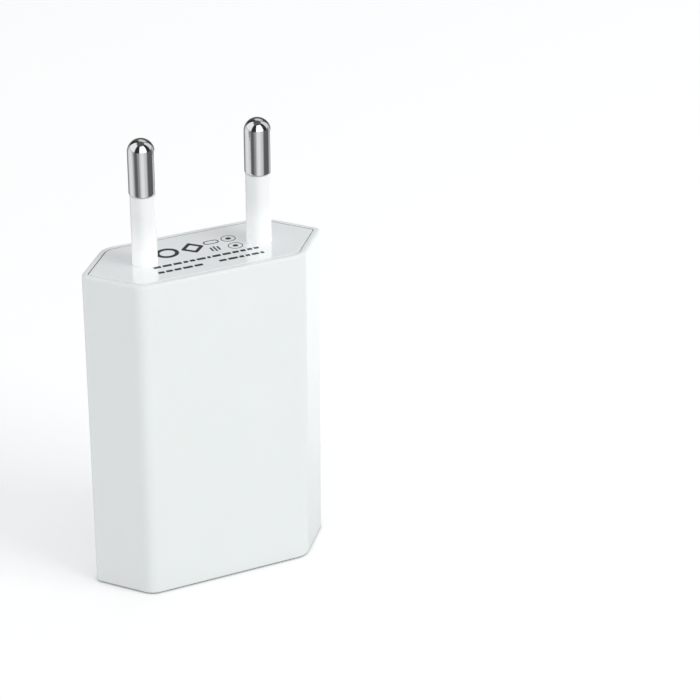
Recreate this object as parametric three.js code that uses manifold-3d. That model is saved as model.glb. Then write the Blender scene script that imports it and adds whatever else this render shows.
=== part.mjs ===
// USB wall charger with two fixed round mains pins, in millimetres.
// +Z is up. The charger stands on its port face, at z = 0, with the pins pointing up.
// X runs across the two side edges and Y across the two broad faces. The origin is the centre of the port face.
import * as THREE from 'three';
import { mergeVertices } from 'three/addons/utils/BufferGeometryUtils.js';
import Module from 'manifold-3d';

const wasm = await Module();
wasm.setup();

// ---- Driving dimensions ----

const SHARP_WIDTH = 38.0; // across the side edges, before they are rounded
const FACE_WIDTH = 25.5; // a broad face, to its sharp corners
const DEPTH = 15.0; // across the broad faces
const HEIGHT = 51.3; // port face to pin face
const SHOULDER_RADIUS = 3.0; // where a broad face turns into a bevel
const SIDE_RADIUS = 1.1; // where two bevels meet
const WALL = 1.5;
const EDGE_RADIUS = 0.35; // round on the housing's end edges
const RIM = 0.85; // housing wall left showing round the cap
const FIT = 0.1; // gap between two pieces that fit together

const PIN_PITCH = 18.0;
const PIN_RADIUS = 1.97;
const PIN_LENGTH = 19.3; // beyond the pin face
const SLEEVE_LENGTH = 10.9; // beyond the pin face
const SLEEVE_RADIUS = 1.85;
const SHANK_RADIUS = 1.5; // pin inside its sleeve

const BOARD_FACE_Y = 3.2; // the board's component side, which faces -Y
const BOARD_THICKNESS = 1.2;
const BOARD_HALF_WIDTH = 13.0;
const BOARD_LOW = 2.0;
const BOARD_HIGH = 44.0;

const PORT_WIDTH = 12.5; // inside the metal shell
const PORT_HEIGHT = 5.12;
const SHELL_SHEET = 0.3;
const SHELL_MOUTH = 0.35; // the shell's rim, above the port face
const SHELL_LENGTH = 14.0;
const CONTACT_X = [-3.5, -1.0, 1.0, 3.5];

// ---- Materials ----

const finish = (color, roughness, metalness = 0) =>
  new THREE.MeshStandardMaterial({ color, roughness, metalness });

const WHITE_PLASTIC = finish(0xf2f5f4, 0.3);
const WHITE_NYLON = finish(0xf6f7f7, 0.35);
const NICKEL = finish(0xc4c7c8, 0.12, 1);
const STEEL = finish(0xaeb2b4, 0.25, 1);
const GOLD_PLATE = finish(0xd8b25a, 0.25, 1);
const BOARD_GREEN = finish(0x2f6b45, 0.5);
const FERRITE = finish(0x3a3a3c, 0.7);
const BLACK_EPOXY = finish(0x1d1e20, 0.5);
const YELLOW_TAPE = finish(0xe0b93c, 0.4);
const BLACK_SLEEVE = finish(0x22262e, 0.35);
const GREEN_SLEEVE = finish(0x2e5a48, 0.35);
const BLUE_CERAMIC = finish(0x2f62a8, 0.45);
const GREY_LACQUER = finish(0x8d948f, 0.5);
const BROWN_WIRE = finish(0x6b3f24, 0.45);
const BLUE_WIRE = finish(0x2b5fa6, 0.45);
const AMBER_FILM = finish(0xd9a441, 0.4);
const BLACK_SHRINK = finish(0x1e1e20, 0.55);
const COPPER = finish(0xa5562c, 0.35, 0.6);
const GREEN_LACQUER = finish(0x4f7f5a, 0.45);

// ---- Solids ----

// A closed three.js geometry as a manifold-3d solid.
function solidOf(geometry) {
  const bare = geometry.clone();
  bare.deleteAttribute('normal');
  bare.deleteAttribute('uv');
  const merged = mergeVertices(bare, 1e-4);
  return new wasm.Manifold(
    new wasm.Mesh({
      numProp: 3,
      vertProperties: new Float32Array(merged.attributes.position.array),
      triVerts: new Uint32Array(merged.index.array),
    }),
  );
}

// A manifold-3d solid as a three.js geometry.
function geometryOf(solid) {
  const { vertProperties, triVerts } = solid.getMesh();
  const geometry = new THREE.BufferGeometry();
  geometry.setAttribute('position', new THREE.BufferAttribute(vertProperties, 3));
  geometry.setIndex(new THREE.BufferAttribute(triVerts, 1));
  geometry.computeVertexNormals();
  return geometry;
}

const join = (...solids) => solids.reduce((all, one) => all.add(one));

const cut = (body, ...tools) => tools.reduce((left, tool) => left.subtract(tool), body);

function piece(name, solid, material, parent = charger) {
  const mesh = new THREE.Mesh(geometryOf(solid), material);
  mesh.name = name;
  parent.add(mesh);
  return mesh;
}

// A box between two corners.
function block([x0, y0, z0], [x1, y1, z1]) {
  const box = new THREE.BoxGeometry(x1 - x0, y1 - y0, z1 - z0);
  return solidOf(box.translate((x0 + x1) / 2, (y0 + y1) / 2, (z0 + z1) / 2));
}

// A closed outline of [radius, height] points, turned round the Z axis.
function turned(outline, sides = 16) {
  const points = outline.map(([radius, height]) => new THREE.Vector2(radius, height));
  return solidOf(new THREE.LatheGeometry(points, sides).rotateX(Math.PI / 2));
}

const rod = (radius, low, high, sides = 16) =>
  turned([[0, low], [radius, low], [radius, high], [0, high]], sides);

// A round bar along a line of points, with ends square to the line.
function bar(points, radius, sides = 6, steps = points.length * 2) {
  const section = new THREE.Shape().absarc(0, 0, radius, 0, 2 * Math.PI);
  const path = new THREE.CatmullRomCurve3(points.map((p) => new THREE.Vector3(...p)), false, 'centripetal');
  return solidOf(
    new THREE.ExtrudeGeometry(section, { steps, extrudePath: path, curveSegments: sides / 2 }),
  );
}

// A strip of even thickness along a bent [y, z] line, as wide as it is in X.
function strip(line, thickness, width) {
  const side = (sign) =>
    line.map(([y, z], i) => {
      const [before, after] = [line[Math.max(i - 1, 0)], line[Math.min(i + 1, line.length - 1)]];
      const run = new THREE.Vector2(after[0] - before[0], after[1] - before[1]).normalize();
      return new THREE.Vector2(y - (sign * run.y * thickness) / 2, z + (sign * run.x * thickness) / 2);
    });
  const shape = new THREE.Shape([...side(1), ...side(-1).reverse()]);
  const sheet = new THREE.ExtrudeGeometry(shape, { depth: width, bevelEnabled: false });
  // The shape's axes are Y and Z, and it is drawn out along X.
  sheet.applyMatrix4(new THREE.Matrix4().makeBasis(
    new THREE.Vector3(0, 1, 0), new THREE.Vector3(0, 0, 1), new THREE.Vector3(1, 0, 0),
  ));
  return solidOf(sheet.translate(-width / 2, 0, 0));
}

// ---- The six-sided outline ----

const BEVEL_ANGLE = Math.atan2(DEPTH, SHARP_WIDTH - FACE_WIDTH);

// Half width of the outline at a distance y from its middle, once taken in by inset on every side.
const halfWidthAt = (y, inset) =>
  SHARP_WIDTH / 2 - inset / Math.sin(BEVEL_ANGLE) - Math.abs(y) / Math.tan(BEVEL_ANGLE);

// The housing's outline, taken in by inset on every side, with each corner turned into an arc.
function outline(inset) {
  const deep = DEPTH / 2 - inset;
  const wide = halfWidthAt(0, inset);
  const face = halfWidthAt(deep, inset);
  const corners = [[wide, 0], [face, deep], [-face, deep], [-wide, 0], [-face, -deep], [face, -deep]]
    .map(([x, y]) => new THREE.Vector2(x, y));
  const shape = new THREE.Shape();
  corners.forEach((corner, i) => {
    const least = i % 3 === 0 ? SIDE_RADIUS : SHOULDER_RADIUS;
    const radius = Math.max(least - inset, 0.3);
    const before = corners[(i + 5) % 6].clone().sub(corner).normalize();
    const after = corners[(i + 1) % 6].clone().sub(corner).normalize();
    const half = Math.acos(before.dot(after)) / 2;
    const centre = before.clone().add(after).normalize()
      .multiplyScalar(radius / Math.sin(half)).add(corner);
    // An arc starts and ends square to the two sides it joins.
    const start = Math.atan2(-before.x, before.y) + Math.PI;
    shape.absarc(centre.x, centre.y, radius, start, start + Math.PI - 2 * half, false);
  });
  return shape;
}

// The outline drawn up from low to high. A rounding softens both end edges.
function hexagon(inset, low, high, rounding = 0) {
  return solidOf(
    new THREE.ExtrudeGeometry(outline(inset), {
      depth: high - low - 2 * rounding,
      curveSegments: 3,
      bevelEnabled: rounding > 0,
      bevelThickness: rounding,
      bevelSize: rounding,
      bevelOffset: -rounding,
      bevelSegments: 2,
    }).translate(0, 0, low + rounding),
  );
}

const charger = new THREE.Group();

// ---- Housing: a deep moulded sleeve, closed at the port end ----

const CAP_THICKNESS = 2.2;
const FLOOR = 1.6; // wall round the port
const RAIL_THICKNESS = 0.8;
const RAIL_INNER_X = 12.5;

// A pair of rails on one side, which the board's edge slides between. They run into the bevel's wall.
function boardRails(side) {
  const boardBack = BOARD_FACE_Y + BOARD_THICKNESS;
  const rail = (y0, y1) => {
    const reach = halfWidthAt(y1, WALL) + 0.3;
    const [x0, x1] = side > 0 ? [RAIL_INNER_X, reach] : [-reach, -RAIL_INNER_X];
    return block([x0, y0, FLOOR - 0.3], [x1, y1, BOARD_HIGH - 6]);
  };
  return join(
    rail(BOARD_FACE_Y - FIT - RAIL_THICKNESS, BOARD_FACE_Y - FIT),
    rail(boardBack + FIT, boardBack + FIT + RAIL_THICKNESS),
  );
}

const portX = PORT_WIDTH / 2 + SHELL_SHEET;
const portY = PORT_HEIGHT / 2 + SHELL_SHEET;
const sleeve = cut(
  hexagon(0, 0, HEIGHT, EDGE_RADIUS),
  hexagon(WALL, FLOOR, HEIGHT + 1),
  hexagon(RIM, HEIGHT - CAP_THICKNESS, HEIGHT + 1),
  block([-portX - FIT, -portY - FIT, -1], [portX + FIT, portY + FIT, FLOOR + 1]),
);
piece('housing', join(sleeve, boardRails(-1), boardRails(1)), WHITE_PLASTIC);

// ---- Pin cap: a plate let into the housing's rim, with a skirt and two bosses ----

const SKIRT = 1.0;
const SKIRT_LENGTH = 3.0;
const BOSS_RADIUS = 3.8;
const BOSS_LENGTH = 3.8;
const SLEEVE_SUNK = 1.4; // how far a sleeve runs into the cap
const COLLAR_RADIUS = 2.3; // the pin's moulded-in collar
const COLLAR_TOP = -1.8; // heights on a pin are from the pin face
const COLLAR_BOTTOM = -3.4;
const LUG_TOP = -6.6;
const LUG_BOTTOM = -8.6;
const SNUG = 0.04; // gap round a piece that is moulded in

const plateBottom = HEIGHT - CAP_THICKNESS;
const skirt = cut(
  hexagon(WALL + FIT, plateBottom - SKIRT_LENGTH, plateBottom + 0.5),
  hexagon(WALL + FIT + SKIRT, plateBottom - SKIRT_LENGTH - 1, plateBottom + 1),
);
const pinBore = turned([
  [0, LUG_TOP],
  [SHANK_RADIUS + SNUG, LUG_TOP],
  [SHANK_RADIUS + SNUG, COLLAR_BOTTOM - SNUG],
  [COLLAR_RADIUS + SNUG, COLLAR_BOTTOM - SNUG],
  [COLLAR_RADIUS + SNUG, COLLAR_TOP + SNUG],
  [SHANK_RADIUS + SNUG, COLLAR_TOP + SNUG],
  [SHANK_RADIUS + SNUG, -SLEEVE_SUNK - SNUG],
  [SLEEVE_RADIUS + SNUG, -SLEEVE_SUNK - SNUG],
  [SLEEVE_RADIUS + SNUG, 1],
  [0, 1],
]);
const cap = [-1, 1].reduce(
  (body, side) => {
    const x = (side * PIN_PITCH) / 2;
    const boss = rod(BOSS_RADIUS, plateBottom - BOSS_LENGTH, plateBottom + 0.5);
    return cut(join(body, boss.translate([x, 0, 0])), pinBore.translate([x, 0, HEIGHT]));
  },
  join(hexagon(RIM + FIT, plateBottom, HEIGHT, 0.12), skirt),
);
piece('pin_cap', cap, WHITE_PLASTIC);

// ---- Mains pins: plated brass, each with an insulating sleeve on its lower half ----

const quarterRound = (steps, point) =>
  Array.from({ length: steps + 1 }, (_, i) => point((i / steps) * (Math.PI / 2)));

const LIP = 0.2; // round on the metal's lower edge
const pinSolid = turned([
  [0, LUG_BOTTOM],
  [1.0, LUG_BOTTOM],
  [1.0, LUG_TOP],
  [SHANK_RADIUS, LUG_TOP],
  [SHANK_RADIUS, COLLAR_BOTTOM],
  [COLLAR_RADIUS, COLLAR_BOTTOM],
  [COLLAR_RADIUS, COLLAR_TOP],
  [SHANK_RADIUS, COLLAR_TOP],
  [SHANK_RADIUS, SLEEVE_LENGTH],
  [PIN_RADIUS - LIP, SLEEVE_LENGTH],
  [PIN_RADIUS, SLEEVE_LENGTH + LIP],
  ...quarterRound(4, (a) => [
    PIN_RADIUS * Math.cos(a),
    PIN_LENGTH - PIN_RADIUS + PIN_RADIUS * Math.sin(a),
  ]),
]);
const sleeveSolid = turned([
  [SHANK_RADIUS + SNUG, -SLEEVE_SUNK],
  [SLEEVE_RADIUS, -SLEEVE_SUNK],
  [SLEEVE_RADIUS, SLEEVE_LENGTH - SNUG],
  [SHANK_RADIUS + SNUG, SLEEVE_LENGTH - SNUG],
  [SHANK_RADIUS + SNUG, -SLEEVE_SUNK],
]);
const SIDES = [[-1, 'left'], [1, 'right']];
for (const [side, word] of SIDES) {
  const foot = [(side * PIN_PITCH) / 2, 0, HEIGHT];
  piece(`mains_pin_${word}`, pinSolid, NICKEL).position.set(...foot);
  piece(`pin_sleeve_${word}`, sleeveSolid, WHITE_NYLON).position.set(...foot);
}

// ---- Mains leads: each runs from a pin's lug to the board, with shrink tube over the joint ----

const LEAD_RADIUS = 0.65;
const LEAD_HOLE = [11.0, 40.6]; // x and height of the hole that a lead goes into
const SHRINK_RADIUS = 1.4;

const shrinkSolid = turned([
  [1.0 + SNUG, LUG_BOTTOM - 0.9],
  [SHRINK_RADIUS, LUG_BOTTOM - 0.9],
  [SHRINK_RADIUS, LUG_TOP - 0.2],
  [1.0 + SNUG, LUG_TOP - 0.2],
  [1.0 + SNUG, LUG_BOTTOM - 0.9],
]);
const boardBackY = BOARD_FACE_Y + BOARD_THICKNESS;
for (const [side, word] of SIDES) {
  const lug = [(side * PIN_PITCH) / 2, 0, HEIGHT + LUG_BOTTOM - 0.05];
  const [holeX, holeZ] = [side * LEAD_HOLE[0], LEAD_HOLE[1]];
  const route = [
    lug,
    [lug[0], 0, lug[2] - 0.9],
    [lug[0] + side * 0.5, 0.35, lug[2] - 1.6],
    [holeX, 1.2, holeZ + 0.15],
    [holeX, 2.4, holeZ],
    [holeX, boardBackY + 0.6, holeZ],
  ];
  piece(`lead_wire_${word}`, bar(route, LEAD_RADIUS, 8, 12), side < 0 ? BROWN_WIRE : BLUE_WIRE);
  piece(`shrink_tube_${word}`, shrinkSolid, BLACK_SHRINK).position.set((side * PIN_PITCH) / 2, 0, HEIGHT);
}

// ---- Board group: x is across, y is up the board, and z is the height off its component side ----

const board = new THREE.Group();
board.rotation.x = Math.PI / 2;
board.position.y = BOARD_FACE_Y;
charger.add(board);

const CLEAR = 0.05; // gap between a component and the board
const LEG_RADIUS = 0.3;
const HOLE_RADIUS = 0.45;
const PROUD = 0.7; // how far a leg stands out of the board's solder side
const holes = []; // [x, y, radius] of each round hole in the board

// A straight leg down through the board from a height above it, which also drills its hole.
function leg(x, y, top, at = [0, 0], radius = LEG_RADIUS) {
  holes.push([at[0] + x, at[1] + y, radius + HOLE_RADIUS - LEG_RADIUS]);
  return rod(radius, -BOARD_THICKNESS - PROUD, top, 6).translate([x, y, 0]);
}

// A leg of an axial part: out of its end, round a bend and down through the board.
function bentLeg(direction, start, reach, height, at) {
  const [y, end] = [direction * start, direction * (start + reach)];
  holes.push([at[0], at[1] + end, HOLE_RADIUS]);
  return bar(
    [
      [0, y - direction * 0.5, height],
      [0, end - direction * 0.55, height],
      [0, end - direction * 0.12, height - 0.18],
      [0, end, height - 0.6],
      [0, end, -BOARD_THICKNESS - PROUD],
    ],
    LEG_RADIUS, 6, 7,
  );
}

const placed = (name, solid, material, [x, y]) => {
  const mesh = piece(name, solid, material, board);
  mesh.position.set(x, y, 0);
  return mesh;
};

// A can capacitor lying along the board, with its crimp groove, and two legs out of its base end.
function lyingCapacitor(name, radius, length, material, at, toward = -1, legPitch = 2.5) {
  const height = radius + CLEAR;
  const crimp = 1.3;
  const can = turned([
    [0, 0], [radius - 0.35, 0], [radius, 0.35],
    [radius, crimp - 0.4], [radius - 0.3, crimp], [radius, crimp + 0.4],
    [radius, length - 0.3], [radius - 0.3, length], [0, length],
  ]);
  // The can's base is at its local y = 0, and it runs away from the way its legs point.
  const lying = can.rotate([toward < 0 ? -90 : 90, 0, 0]).translate([0, 0, height]);
  const legs = [-legPitch / 2, legPitch / 2].map((x) =>
    bentLeg(toward, 0, 1.0, height, [at[0] + x, at[1]]).translate([x, 0, 0]));
  return placed(name, join(lying, ...legs), material, at);
}

// ---- Output side: two low-voltage capacitors beside the port, a diode and two chip resistors ----

lyingCapacitor('output_capacitor_left', 3.15, 10.6, GREEN_SLEEVE, [-10.1, 4.0]);
lyingCapacitor('output_capacitor_right', 3.15, 10.6, GREEN_SLEEVE, [10.1, 4.0]);

// A moulded part with a flat strip foot at each end, lying across the board in X.
function chipDiode(name, long, wide, tall, at) {
  const body = block([-long / 2, -wide / 2, 0.15], [long / 2, wide / 2, tall]);
  const feet = [-1, 1].map((side) => {
    const [x0, x1] = side < 0 ? [-long / 2 - 0.4, -long / 2 + 0.9] : [long / 2 - 0.9, long / 2 + 0.4];
    return block([x0, -wide * 0.28, CLEAR], [x1, wide * 0.28, 0.3]);
  });
  return placed(name, join(body, ...feet), BLACK_EPOXY, at);
}

// A plain rectangular chip part, with its end caps a little proud of its body.
function chip(name, long, wide, tall, material, at) {
  const body = block([-long / 2, -wide / 2 + 0.04, CLEAR + 0.03], [long / 2, wide / 2 - 0.04, tall - 0.03]);
  const ends = [[-long / 2, -long / 2 + 0.45], [long / 2 - 0.45, long / 2]].map(([x0, x1]) =>
    block([x0, -wide / 2, CLEAR], [x1, wide / 2, tall]));
  return placed(name, join(body, ...ends), material, at);
}

chipDiode('output_diode', 4.3, 2.6, 2.2, [-9.4, 16.2]);
chip('load_resistor', 2.0, 1.25, 0.55, BLACK_EPOXY, [8.2, 15.6]);
chip('feedback_resistor', 2.0, 1.25, 0.55, BLACK_EPOXY, [11.0, 15.6]);

// ---- Transformer: two ferrite E halves, a bobbin with six legs, and a taped coil ----

const TRANSFORMER = [0, 22.6];
const CORE_SPAN = 10.2; // along the board
const CORE_LENGTH = 11.0; // across the board, both halves
const CORE_DEPTH = 4.7;
const CORE_BACK = 1.4;
const CENTRE_LEG = 2.4;
const OUTER_LEG = 1.25;
const COIL_HEIGHT = 4.45; // the coil's middle, above the board
const FLANGE = 0.6;
const COIL_LENGTH = 6.4; // between the bobbin's flanges
const BOBBIN_DEPTH = 8.4;

// One E half. Its back is at x = side * CORE_LENGTH / 2 and its legs reach almost to x = 0.
function coreHalf(side) {
  const [gap, back] = [0.03, CORE_LENGTH / 2];
  const span = (from, to, y0, y1) => {
    const [x0, x1] = side < 0 ? [-to, -from] : [from, to];
    return block([x0, y0, COIL_HEIGHT - CORE_DEPTH / 2], [x1, y1, COIL_HEIGHT + CORE_DEPTH / 2]);
  };
  const half = CORE_SPAN / 2;
  return join(
    span(back - CORE_BACK, back, -half, half),
    span(gap, back - CORE_BACK + 0.1, -CENTRE_LEG / 2, CENTRE_LEG / 2),
    span(gap, back - CORE_BACK + 0.1, half - OUTER_LEG, half),
    span(gap, back - CORE_BACK + 0.1, -half, -half + OUTER_LEG),
  );
}
placed('transformer_core_left', coreHalf(-1), FERRITE, TRANSFORMER);
placed('transformer_core_right', coreHalf(1), FERRITE, TRANSFORMER);

// A square tube round the core's centre leg, a flange at each end, and a foot that holds three legs.
function bobbin() {
  const tube = 0.5;
  const [inY, inZ] = [CENTRE_LEG / 2 + FIT, CORE_DEPTH / 2 + FIT];
  const flangeY = (CORE_SPAN - 2 * OUTER_LEG) / 2 - FIT;
  const end = COIL_LENGTH / 2 + FLANGE;
  const body = block(
    [-end, -inY - tube, COIL_HEIGHT - inZ - tube],
    [end, inY + tube, COIL_HEIGHT + inZ + tube],
  );
  const flanges = [-1, 1].map((side) => {
    const [x0, x1] = side < 0 ? [-end, -end + FLANGE] : [end - FLANGE, end];
    return block(
      [x0, -flangeY, COIL_HEIGHT - BOBBIN_DEPTH / 2],
      [x1, flangeY, COIL_HEIGHT + BOBBIN_DEPTH / 2],
    );
  });
  const feet = [-1, 1].map((side) => {
    const [x0, x1] = side < 0 ? [-5.4, -end + 0.2] : [end - 0.2, 5.4];
    const foot = block([x0, -4.6, 0.25], [x1, 4.6, COIL_HEIGHT - CORE_DEPTH / 2 - FIT]);
    const legs = [-3.5, 0, 3.5].map((y) => leg(side * 4.7, y, 1, TRANSFORMER));
    return join(foot, ...legs);
  });
  const window = block([-end - 1, -inY, COIL_HEIGHT - inZ], [end + 1, inY, COIL_HEIGHT + inZ]);
  return cut(join(body, ...flanges, ...feet), window);
}
placed('transformer_bobbin', bobbin(), BLACK_EPOXY, TRANSFORMER);

// A band round the bobbin's tube between two distances from it, with its corners left round.
function band(inner, outer, length) {
  const ring = (grow, half) => {
    const [y, z] = [CENTRE_LEG / 2 + FIT + 0.5 + grow, CORE_DEPTH / 2 + FIT + 0.5 + grow];
    const corner = Math.min(grow, 1.2) + 0.02;
    const shape = new THREE.Shape();
    shape.absarc(y - corner, z - corner, corner, 0, Math.PI / 2);
    shape.absarc(corner - y, z - corner, corner, Math.PI / 2, Math.PI);
    shape.absarc(corner - y, corner - z, corner, Math.PI, Math.PI * 1.5);
    shape.absarc(y - corner, corner - z, corner, Math.PI * 1.5, Math.PI * 2);
    const flat = { depth: 2 * half, bevelEnabled: false, curveSegments: 2 };
    const drawn = new THREE.ExtrudeGeometry(shape, flat);
    drawn.applyMatrix4(new THREE.Matrix4().makeBasis(
      new THREE.Vector3(0, 1, 0), new THREE.Vector3(0, 0, 1), new THREE.Vector3(1, 0, 0),
    ));
    return solidOf(drawn.translate(-half, 0, COIL_HEIGHT));
  };
  return cut(ring(outer, length / 2), ring(inner, length / 2 + 1));
}
const COIL_TURNS = 1.25; // thickness of wound wire on the tube
placed('transformer_winding', band(CLEAR, COIL_TURNS, COIL_LENGTH - 0.6), COPPER, TRANSFORMER);
placed(
  'transformer_tape', band(COIL_TURNS + 0.03, COIL_TURNS + 0.25, COIL_LENGTH - 0.2), YELLOW_TAPE, TRANSFORMER);

// ---- Suppression capacitor: a dipped ceramic disc, lying over beside the transformer ----

const Y_CAPACITOR = [9.1, 20.4];
const discRadius = 3.15;
const disc = turned([
  [0, 0.5], [discRadius - 0.7, 0.5], [discRadius, 1.2], [discRadius, 2.4], [discRadius - 0.7, 3.1], [0, 3.1],
]);
placed(
  'y_capacitor',
  join(disc, leg(-1.6, -1.6, 1.5, Y_CAPACITOR), leg(1.6, 1.6, 1.5, Y_CAPACITOR)),
  BLUE_CERAMIC,
  Y_CAPACITOR,
);

// ---- Controller and the parts round it ----

// A small-outline package with legs bent down to the board on both long sides.
function controller(at) {
  const [halfX, halfY, tall] = [1.95, 2.45, 1.5];
  const body = block([-halfX, -halfY, 0.2], [halfX, halfY, tall]);
  const legs = [-1.905, -0.635, 0.635, 1.905].flatMap((y) =>
    [-1, 1].map((side) => {
      const across = (from, to, z0, z1) => {
        const [x0, x1] = side < 0 ? [-to, -from] : [from, to];
        return block([x0, y - 0.2, z0], [x1, y + 0.2, z1]);
      };
      return join(
        across(halfX - 0.2, 2.45, 0.75, 0.95),
        across(2.25, 2.45, CLEAR, 0.95),
        across(2.25, 3.0, CLEAR, 0.25),
      );
    }));
  return placed('controller_chip', join(body, ...legs), BLACK_EPOXY, at);
}
controller([-9.2, 21.0]);
chip('snubber_capacitor', 3.2, 1.6, 1.2, GREY_LACQUER, [-9.4, 25.2]);
chip('snubber_resistor', 3.2, 1.6, 0.6, BLACK_EPOXY, [-9.4, 27.4]);

const SUPPLY_CAPACITOR = [10.0, 26.4];
const upright = turned([
  [0, 0.3], [1.75, 0.3], [2.0, 0.55], [2.0, 1.1], [1.8, 1.35], [2.0, 1.6], [2.0, 7.0], [1.8, 7.2], [0, 7.2],
], 16);
placed(
  'supply_capacitor',
  join(upright, leg(0, -0.75, 0.5, SUPPLY_CAPACITOR), leg(0, 0.75, 0.5, SUPPLY_CAPACITOR)),
  BLACK_SLEEVE,
  SUPPLY_CAPACITOR,
);

// ---- Mains side: two high-voltage capacitors, a bridge, a fusible resistor and a choke ----

lyingCapacitor('bulk_capacitor_left', 3.95, 10.4, BLACK_SLEEVE, [-4.1, 29.8]);
lyingCapacitor('bulk_capacitor_right', 3.95, 10.4, BLACK_SLEEVE, [4.1, 29.8]);

function bridge(at) {
  const body = block([-1.95, -2.35, 0.15], [1.95, 2.35, 2.5]);
  const legs = [-1, 1].flatMap((end) =>
    [-1.25, 1.25].map((x) => {
      const [y0, y1] = end < 0 ? [-3.3, -2.2] : [2.2, 3.3];
      return block([x - 0.3, y0, CLEAR], [x + 0.3, y1, 0.3]);
    }));
  return placed('bridge_rectifier', join(body, ...legs), BLACK_EPOXY, at);
}
bridge([-10.4, 33.4]);

// An axial part along the board: a dipped body that swells over its end caps.
function axialPart(name, radius, length, material, at, bend = 0.9) {
  const height = radius + CLEAR;
  const half = length / 2;
  const bodySolid = turned([
    [0, -half], [radius * 0.75, -half], [radius, -half + 0.5], [radius, -half + 1.3],
    [radius * 0.9, -half + 1.8], [radius * 0.9, half - 1.8], [radius, half - 1.3],
    [radius, half - 0.5], [radius * 0.75, half], [0, half],
  ], 16);
  const lying = bodySolid.rotate([-90, 0, 0]).translate([0, 0, height]);
  const legs = [-1, 1].map((direction) => bentLeg(direction, half, bend, height, at));
  return placed(name, join(lying, ...legs), material, at);
}
axialPart('fusible_resistor', 1.5, 7.4, GREY_LACQUER, [10.7, 34.2]);

// The choke lies across the board, so its drilled holes are turned a quarter round as it is.
const CHOKE = [0, 42.0];
const chokeHalf = 3.4;
const chokeBody = turned([
  [0, -chokeHalf], [0.8, -chokeHalf], [1.2, -chokeHalf + 0.5],
  [1.2, chokeHalf - 0.5], [0.8, chokeHalf], [0, chokeHalf],
], 16).rotate([0, 90, 0]).translate([0, 0, 1.2 + CLEAR]);
const chokeLegs = [-1, 1].map((side) =>
  bentLeg(1, chokeHalf, 0.9, 1.2 + CLEAR, [1e3, 1e3]).rotate([0, 0, side * 90]));
const chokeHoleX = chokeHalf + 0.9;
holes.push([-chokeHoleX, CHOKE[1], HOLE_RADIUS], [chokeHoleX, CHOKE[1], HOLE_RADIUS]);
placed('filter_choke', join(chokeBody, ...chokeLegs), GREEN_LACQUER, CHOKE);

// ---- USB socket: a folded steel shell, a moulded tongue, and four sprung contacts ----

const socket = new THREE.Group();
socket.position.z = SHELL_MOUTH;
charger.add(socket);

const insideX = PORT_WIDTH / 2;
const insideY = PORT_HEIGHT / 2;
const TONGUE_FRONT = 1.9; // heights in the socket are from its mouth
const TONGUE_HALF_WIDTH = 5.55;
const TONGUE_LOW_Y = -1.9;
const TONGUE_HIGH_Y = -0.06; // the face that the contacts are on
const BLOCK_FRONT = 10.9;
const SPRING_HALF_WIDTH = 1.2;
const SPRING_X = 3.1;
const SPRING_FREE = 3.2; // the spring's free end, nearest the mouth
const SPRING_ROOT = 9.0;

// A spring tab cut out of a broad wall and bent in, as the slot to cut and the tab to add.
function retainer(x, side) {
  const wall = side * (insideY + SHELL_SHEET / 2);
  const [y0, y1] = side < 0 ? [-insideY - 1, -insideY + 0.01] : [insideY - 0.01, insideY + 1];
  const slot = block(
    [x - SPRING_HALF_WIDTH - 0.3, y0, SPRING_FREE - 0.5],
    [x + SPRING_HALF_WIDTH + 0.3, y1, SPRING_ROOT],
  );
  const bend = [
    [wall, SPRING_ROOT + 0.3],
    [wall, SPRING_ROOT - 0.3],
    [wall - side * 0.42, SPRING_FREE + 1.4],
    [wall - side * 0.12, SPRING_FREE],
  ];
  return { slot, tab: strip(bend, SHELL_SHEET - 0.04, 2 * SPRING_HALF_WIDTH).translate([x, 0, 0]) };
}

const retainers = [-1, 1].flatMap((side) => [-SPRING_X, SPRING_X].map((x) => retainer(x, side)));
const shellLegs = [-1, 1].flatMap((side) =>
  [3.6, 9.8].map((z) => {
    const [x0, x1] = side < 0 ? [-portX, -portX + SHELL_SHEET] : [portX - SHELL_SHEET, portX];
    return block([x0, insideY - 1, z - 0.7], [x1, boardBackY + 0.7, z + 0.7]);
  }));
const shellWalls = cut(
  block([-portX, -portY, 0], [portX, portY, SHELL_LENGTH]),
  block([-insideX, -insideY, -1], [insideX, insideY, SHELL_LENGTH - SHELL_SHEET]),
  block([-5, insideY - 0.01, BLOCK_FRONT + 0.4], [5, portY + 1, SHELL_LENGTH + 1]),
  ...retainers.map((r) => r.slot),
);
piece('usb_shell', join(shellWalls, ...retainers.map((r) => r.tab), ...shellLegs), STEEL, socket);

// The tongue has a groove under each contact, and the block a slot for each contact's tail.
const GROOVE_HALF_WIDTH = 0.65;
const GROOVE_FLOOR_Y = -1.25;
const CONTACT_THICKNESS = 0.2;
const CONTACT_WIDTH = 1.0;
const ROOT = [-0.45, BLOCK_FRONT + 0.15]; // y and height of the line that a contact bends about
const TAIL_TURN = BLOCK_FRONT + 1.75;
const grooves = CONTACT_X.map((x) =>
  block(
    [x - GROOVE_HALF_WIDTH, GROOVE_FLOOR_Y, TONGUE_FRONT + 0.7],
    [x + GROOVE_HALF_WIDTH, 0.5, BLOCK_FRONT + 0.6],
  ));
const tailSlots = CONTACT_X.map((x) =>
  block(
    [x - GROOVE_HALF_WIDTH, -0.8, BLOCK_FRONT - 0.1],
    [x + GROOVE_HALF_WIDTH, insideY + 1, TAIL_TURN + 0.3]));
const insulator = cut(
  join(
    block(
      [-TONGUE_HALF_WIDTH, TONGUE_LOW_Y, TONGUE_FRONT],
      [TONGUE_HALF_WIDTH, TONGUE_HIGH_Y, BLOCK_FRONT + 0.5]),
    block(
      [-insideX + FIT, -insideY + FIT, BLOCK_FRONT],
      [insideX - FIT, insideY - FIT, SHELL_LENGTH - SHELL_SHEET - FIT]),
  ),
  ...grooves,
  ...tailSlots,
);
piece('usb_tongue', insulator, WHITE_NYLON, socket);

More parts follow.
